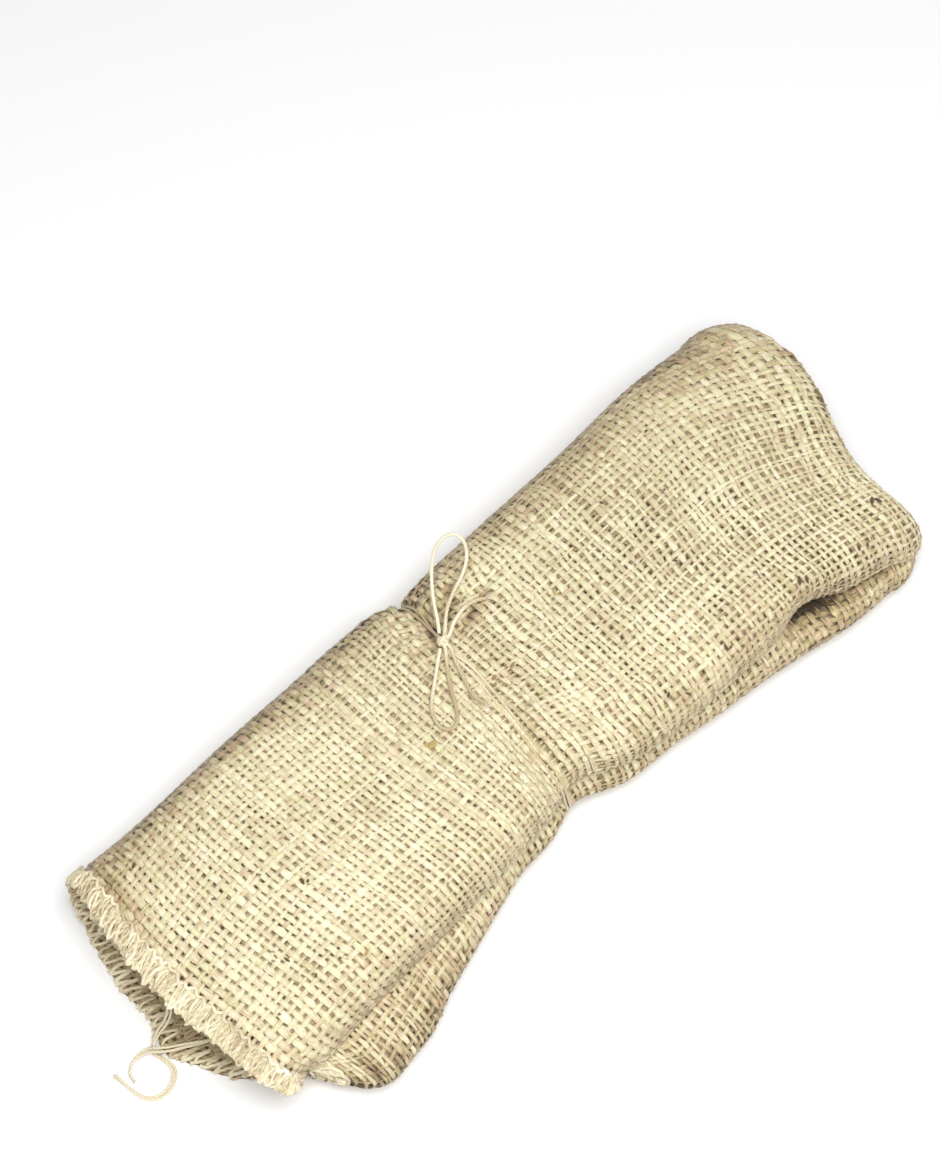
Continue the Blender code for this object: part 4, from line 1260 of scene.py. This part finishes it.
# ---------------------------------------------------------------------------- turns of the tie
# The bow's twine goes twice round the roll side by side, pulled tight, so that it bridges the
# hollows and sinks into the cloth elsewhere. Both turns start and end inside the knot.
OUTER_TURN = 0.292                  # how much of the cloth's width is on the outside of the roll
TURN_DIAMETER = 0.00105
TURN_SUNK = (0.0001, 0.0028, 0.0006)    # under the face: by the knot, and more past it and before it


def outer_hull(points):
    """The points of a closed outline that a taut string round it would touch, in order."""
    ordered = sorted(points, key=lambda point: (point[1], point[2]))

    def half_hull(candidates):
        """One side of it: the last point kept is dropped while the next one lies outside of it."""
        kept_points = []
        for point in candidates:
            while len(kept_points) > 1:
                ahead = kept_points[-1] - kept_points[-2]
                turn = point - kept_points[-2]
                if ahead[1] * turn[2] - ahead[2] * turn[1] > 0:
                    break
                kept_points.pop()
            kept_points.append(point)
        return kept_points[:-1]

    return np.array(half_hull(ordered) + half_hull(ordered[::-1]))


def tie_turn(offset):
    """The route of one turn, that far along from the tie's middle, from the knot round to it.

    Close to the knot it comes within a quarter of that distance, as a bell."""
    across = np.linspace(0.0, OUTER_TURN, 240)
    along = np.full(len(across), TIE_ALONG)
    for _ in range(3):
        near = from_grid(plain_middle, across, along)
        by_knot = bell(near[:, 1] - KNOT_PLACE[1], 0.006)
        along = tie_line(near) + offset * (1 - 0.75 * by_knot)
    near = from_grid(plain_middle, across, along)
    lift = SHEET_THICKNESS / 2 - TURN_SUNK[0] - TURN_SUNK[1] * past_knot(near) - (
        TURN_SUNK[2] * before_knot(near))
    touching = outer_hull(near + from_grid(plain_normal, across, along) * lift[:, None])
    first = np.linalg.norm(touching - np.array(KNOT_PLACE), axis=1).argmin()
    closed = np.vstack([KNOT_PLACE, np.roll(touching, -first, axis=0), KNOT_PLACE])
    closed[:, 2] = np.maximum(closed[:, 2], TURN_DIAMETER / 2 + 0.0001)
    return smooth_route(even_points(closed, 0.0030), 0.0006)


for name, sign, node_name in (("tie_turn_by_open_end", -0.5, "tie_turn_front"),
                              ("tie_turn_by_fold", 0.5, "tie_turn_back")):
    turn_path = tie_turn(sign * TIE_SPACING)
    # The turns are painted darker past the knot and going down towards the lobe, as the shade of the
    # groove and side they lie in.
    turn_tone = 0.34 - 0.85 * past_knot(turn_path) - 0.34 * before_knot(turn_path)
    turn_part = plied_tube(turn_path, TURN_DIAMETER, TWINE_LAY, sides=10, tone=turn_tone)
    turn = add_piece(name, turn_part, cotton)
    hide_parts(node_name)

# ---------------------------------------------------------------------------- overlock stitching
# The cut edges at the open end are bound by machine with thick soft thread. One thread lies in
# scallops on the needle line, and two more run from it over the edge and back underneath.
NEEDLE_LINE = 0.0076                # in from the cut edge
STITCH_PITCH = 0.0040
SCALLOP_DIAMETER = 0.00125
LOOPER_DIAMETER = 0.00135
SIDE_STITCHING = 0.0010             # how far it carries on down the flap's side
STITCH = (
    # in from edge  level   forward
    (0.0079,        0.30,   -0.06),
    (0.0062,        1.00,   0.07),
    (0.0038,        1.10,   0.12),
    (0.0014,        1.00,   0.24),
    (-0.0002,       0.20,   0.44),
    (0.0010,        0.95,   0.66),
    (0.0034,        1.10,   0.80),
    (0.0060,        1.00,   0.86),
)
LOOPERS = (
    # face  forward  thickness  darker by, as painted shade
    (1,     0.00,    1.00,      0.00),
    (1,     0.50,    0.72,      0.16),
    (-1,    0.25,    1.00,      0.00),
)


def edge_place(walked, inset):
    """Across and along on the cloth, for a place that far along the bound edge and that far in.

    The edge comes up the flap's side, goes round the corner, and then crosses the open end."""
    arc = np.pi / 2 * CORNER_RADIUS
    angle = (walked / CORNER_RADIUS).clip(0, np.pi / 2)
    reach = CORNER_RADIUS - inset
    return (CORNER_RADIUS - reach * np.cos(angle) + (walked - arc).clip(0),
            CORNER_RADIUS - reach * np.sin(angle) + (-walked).clip(0))


def stitch_route(walked, inset, lift, recess, spacing):
    """A smooth path over the sheet through those places, kept above the table."""
    across, along = edge_place(walked, inset)
    lift = lift * (0.7 + 0.3 * (across / 0.006).clip(0, 1))
    along = along + recess
    outwards = from_grid(grid_normal, across, along)
    route = from_grid(grid_middle, across, along) + outwards * lift[:, None]
    route[:, 2] = np.maximum(route[:, 2], LOOPER_DIAMETER / 2)
    return smooth_route(route, spacing)


def overlock(start, side, recess, spacing, sides, tone):
    """The threads that bind one leaf's edge: its side is 1 for the outer leaf and -1 for the inner.

    The needle thread's scallops lie on the needle line, each a stitch long. On each face a looper
    thread runs from that line to the edge and back once a stitch, in loops that widen to the edge,
    and a second one lies half a stitch on from it on the side that shows."""
    end = np.pi / 2 * CORNER_RADIUS + CLOTH_WIDTH - CORNER_RADIUS - 0.0010
    walked = np.arange(start, end, STITCH_PITCH / 6)
    phase = 2 * np.pi * walked / STITCH_PITCH
    wobble, changes_along = (np.interp(walked, np.linspace(start, end, 90), dice.normal(size=90))
                    for _ in range(2))
    phase = phase + 0.7 * wobble
    inset = NEEDLE_LINE + 0.0007 * np.sin(phase) + 0.0005 * np.sin(0.37 * phase) + 0.0003 * changes_along
    lift = side * (SHEET_THICKNESS / 2 + 0.00035 + 0.00020 * np.cos(phase))
    path = stitch_route(walked, inset, lift, recess, 0.0007)
    changes_along = np.interp(np.linspace(0, 1, len(path)), np.linspace(0, 1, len(changes_along)), changes_along)
    parts = [plied_tube(path, SCALLOP_DIAMETER * (1 + 0.08 * changes_along[:, None]), 0.006, sides=8,
                        tone=tone + 0.02 + 0.20 * changes_along)]
    rows = np.array(STITCH)
    count = int((end - start) / STITCH_PITCH)
    # Each looper is darker by its painted shade, the second one on the side that shows most.
    for shown, ahead, thin, shaded_by in LOOPERS:
        face = shown * side
        first = start + STITCH_PITCH * (np.arange(count)[:, None] + ahead)
        stray, bent = dice.normal(size=(2, count, 1)), dice.normal(size=(2, count, len(rows)))
        walked = first + STITCH_PITCH * (rows[:, 2] + 0.10 * stray[0] + 0.07 * bent[0])
        inset = rows[:, 0] + 0.0005 * stray[1] * (1 - rows[:, 0] / NEEDLE_LINE) + 0.0002 * bent[1]
        lift = side * 0.00112 + face * (rows[:, 1] * 0.00092 + 0.00010 * bent[0])
        path = stitch_route(walked.ravel(), inset.ravel(), lift.ravel(), recess, spacing)
        along = np.linspace(0, 1, len(path))
        own, thick = (np.interp(along, np.linspace(0, 1, 3 * count), dice.normal(size=3 * count))
                      for _ in range(2))
        parts.append(plied_tube(path, thin * LOOPER_DIAMETER * (1 + 0.14 * thick[:, None]), 0.0045,
                                strands=2, depth=0.12, sides=sides, tone=tone - shaded_by + 0.20 * own))
    return joined(parts)


cream = thread_finish("overlock_thread", ((0.46, 0.36, 0.20), (0.78, 0.69, 0.48), (0.91, 0.87, 0.68)),
                      grain=0.35, hue_reach=0.015)
# The inner leaf's stitching, inside the mouth, is painted much darker than the outer's, as shade.
for name, start, side, recess, spacing, sides, tone in (
        ("overlock_of_outer_leaf", -SIDE_STITCHING, 1.0, 0.0, 0.0010, 6, 0.24),
        ("overlock_of_inner_leaf", np.pi / 2 * CORNER_RADIUS, -1.0, LEAF_RECESS, 0.0013, 5, -0.52)):
    add_piece(name, overlock(start, side, recess, spacing, sides, tone), cream)

# ---------------------------------------------------------------------------- flecks and fibres
# Jute keeps bits of bark and husk, and its short fibres stand out of the yarn. The bits here lie
# on the outer ply, and the fibres are caught in it at one end.
FLECKS = (
    # across  along    length   width    degrees  colour
    (0.0920,  0.2560,  0.0016,  0.0010,  10,      "bark"),
    (0.0840,  0.2260,  0.0018,  0.0009,  100,     "bark"),
    (0.0165,  0.2590,  0.0036,  0.0017,  52,      "bark"),
    (0.0152,  0.2615,  0.0030,  0.0012,  75,      "bark"),
    (0.0235,  0.3045,  0.0036,  0.0016,  36,      "bark"),
    (0.0225,  0.3065,  0.0026,  0.0014,  110,     "bark"),
    (0.0140,  0.2860,  0.0022,  0.0012,  65,      "bark"),
    (0.0280,  0.2800,  0.0015,  0.0011,  10,      "bark"),
    (0.0160,  0.2210,  0.0026,  0.0009,  80,      "bark"),
    (0.0150,  0.2225,  0.0015,  0.0009,  10,      "bark"),
    (0.0165,  0.1940,  0.0020,  0.0012,  30,      "bark"),
    (0.0480,  0.0570,  0.0024,  0.0013,  75,      "bark"),
    (0.0470,  0.0585,  0.0016,  0.0010,  20,      "bark"),
    (0.0345,  0.0350,  0.0026,  0.0010,  100,     "bark"),
    (0.0365,  0.0090,  0.0014,  0.0013,  20,      "bark"),
    (0.0955,  0.0210,  0.0022,  0.0012,  20,      "bark"),
    (0.0855,  0.0450,  0.0017,  0.0009,  20,      "bark"),
    (0.0130,  0.2000,  0.0024,  0.0008,  140,     "bark"),
    (0.2640,  0.0420,  0.0018,  0.0013,  20,      "bark"),
    (0.2585,  0.0450,  0.0015,  0.0012,  80,      "bark"),
    (0.0300,  0.1050,  0.0016,  0.0008,  15,      "bark"),
    (0.0575,  0.1630,  0.0024,  0.0013,  20,      "russet"),
    (0.0592,  0.1615,  0.0018,  0.0011,  75,      "russet"),
    (0.0580,  0.1560,  0.0026,  0.0013,  24,      "russet"),
    (0.0560,  0.1545,  0.0020,  0.0012,  15,      "russet"),
    (0.0568,  0.1580,  0.0018,  0.0010,  88,      "russet"),
    (0.0295,  0.0570,  0.0018,  0.0012,  40,      "russet"),
    (0.0790,  0.2080,  0.0018,  0.0006,  80,      "russet"),
    (0.0180,  0.0560,  0.0030,  0.0012,  20,      "husk"),
    (0.0545,  0.1230,  0.0040,  0.0024,  10,      "husk"),
    (0.0560,  0.1215,  0.0026,  0.0014,  70,      "husk"),
    (0.0710,  0.1920,  0.0034,  0.0012,  55,      "husk"),
    (0.0350,  0.2450,  0.0020,  0.0010,  30,      "husk"),
)
FLECK_COLOURS = {
    "bark": (0.075, 0.050, 0.022),
    "russet": (0.26, 0.155, 0.085),
    "husk": (0.36, 0.25, 0.095),
}
FLECK_HEIGHT = 0.00035
FIBRE_COUNT = 520
FIBRE_RADIUS = 0.000045
FIBRE_LENGTHS = (0.003, 0.010)
FIBRE_BENDS = (-1.8, 1.8)           # how far its heading turns, in radians
FIBRE_LIFTS = (0.0001, 0.0016)      # of its tip, off the cloth
FIBRE_PLACES = ((0.004, 0.285), (0.004, 0.305))     # of roots: across the cloth, along the roll


def fleck_part(across, along, length, width, degrees):
    """A flat pointed chip that lies on the cloth: its half width is the root of how far each ring
    is from the nearer tip."""
    share = np.linspace(-0.98, 0.98, 7)
    heading = np.radians(degrees)
    line_along = along + share * length / 2 * np.cos(heading)
    lift = np.interp(line_along, out_along, out_lift) + 0.0001
    line = cloth_at(across + share * length / 2 * np.sin(heading), line_along, lift)
    ahead = unit(line[-1:] - line[:1])
    rise = from_grid(grid_normal, np.array([across]), np.array([along]))
    side = np.cross(ahead, rise)
    size = np.sqrt(1 - np.abs(share))[:, None, None]
    angle = np.linspace(0, 2 * np.pi, 8, endpoint=False)[None, :, None]
    outline = width / 2 * np.cos(angle) * side + FLECK_HEIGHT * np.sin(angle) * rise
    rings = line[:, None] + size * outline
    return tube_part(rings[None], np.ones((1, 7, 8)))


for kind, colour in FLECK_COLOURS.items():
    parts = [fleck_part(*row[:5]) for row in FLECKS if row[5] == kind]
    tones = tuple(tuple(share * value for value in colour) for share in (0.5, 1.0, 1.4))
    bits = thread_finish(f"{kind}_bits", tones, grain=0.8)
    add_piece(f"{kind}_flecks", joined(parts), bits)

# Each stray fibre runs from its root along a bent line over the cloth, and lifts off towards its
# tip with the square of the way along it.
fibre_share = np.linspace(0, 1, 8)[None, :]
fibre_length, fibre_bend, fibre_lift = (
    dice.uniform(low, high, (FIBRE_COUNT, 1))
    for low, high in (FIBRE_LENGTHS, FIBRE_BENDS, FIBRE_LIFTS))
fibre_heading = dice.uniform(0, 2 * np.pi, (FIBRE_COUNT, 1)) + fibre_bend * fibre_share
fibre_step = fibre_length / 7 * (fibre_share > 0)
fibre_across, fibre_along = (
    dice.uniform(nearest, furthest, (FIBRE_COUNT, 1))
    + np.cumsum(fibre_step * share_of(fibre_heading), axis=1)
    for (nearest, furthest), share_of in zip(FIBRE_PLACES, (np.sin, np.cos)))
fibre_root = np.interp(fibre_along, out_along, out_lift) - 0.0002
fibre_line = cloth_at(fibre_across, fibre_along, fibre_root + fibre_lift * fibre_share**2)
fibre_line[..., 2] = np.maximum(fibre_line[..., 2], 0.0002)
fibre_ahead = unit(np.gradient(fibre_line, axis=1))
fibre_side = unit(np.cross(fibre_ahead, (0.2, 0.3, 0.9)))
fibre_rise = np.cross(fibre_side, fibre_ahead)
corner = np.linspace(0, 2 * np.pi, 4)[:3, None]
thin = (FIBRE_RADIUS * (1 - 0.6 * fibre_share))[..., None, None]
fibre_rings = fibre_line[:, :, None] + thin * (np.cos(corner) * fibre_side[:, :, None]
                                               + np.sin(corner) * fibre_rise[:, :, None])
fibre_tone = np.broadcast_to(dice.uniform(0.2, 1.0, (FIBRE_COUNT, 1, 1)), (FIBRE_COUNT, 8, 3))
add_piece("stray_fibres", tube_part(fibre_rings, fibre_tone), jute)

# ---------------------------------------------------------------------------- table and light
# A pale plain table top and soft white studio light from above, so that shadows stay open.
TABLE_HALF = 3.0
TABLE_LEVEL = -0.0002
table_corners = [(x * TABLE_HALF, y * TABLE_HALF, TABLE_LEVEL)
                 for x, y in ((-1, -1), (1, -1), (1, 1), (-1, 1))]
table_mesh = bpy.data.meshes.new("table_top")
table_mesh.from_pydata(table_corners, [], [(0, 1, 2, 3)])
table_finish = bpy.data.materials.new("table_top")
table_finish.use_nodes = True
table_shader = table_finish.node_tree.nodes["Principled BSDF"]
table_shader.inputs["Base Color"].default_value = (0.93, 0.93, 0.93, 1.0)
table_shader.inputs["Roughness"].default_value = 0.8
table_mesh.materials.append(table_finish)
table = bpy.data.objects.new("table_top", table_mesh)
bpy.context.collection.objects.link(table)

LIGHTS = (
    # name         place                  size  watts
    ("key_light",  (-0.28, -0.42, 1.26),  0.7,  20.9),
    ("fill_light", (0.60, -0.90, 1.10),   1.4,  2.5),
)
for name, place, size, watts in LIGHTS:
    lamp = bpy.data.objects.new(name, bpy.data.lights.new(name, "AREA"))
    lamp.data.energy, lamp.data.size = watts, size
    lamp.location = place
    lamp.rotation_euler = (-Vector(place)).to_track_quat("-Z", "Y").to_euler()
    bpy.context.collection.objects.link(lamp)
world = bpy.data.worlds.new("studio")
world.use_nodes = True
world.node_tree.nodes["Background"].inputs["Color"].default_value = (1.0, 1.0, 1.0, 1.0)
world.node_tree.nodes["Background"].inputs["Strength"].default_value = 0.26
bpy.context.scene.world = world
bpy.context.scene.view_settings.view_transform = "Standard"
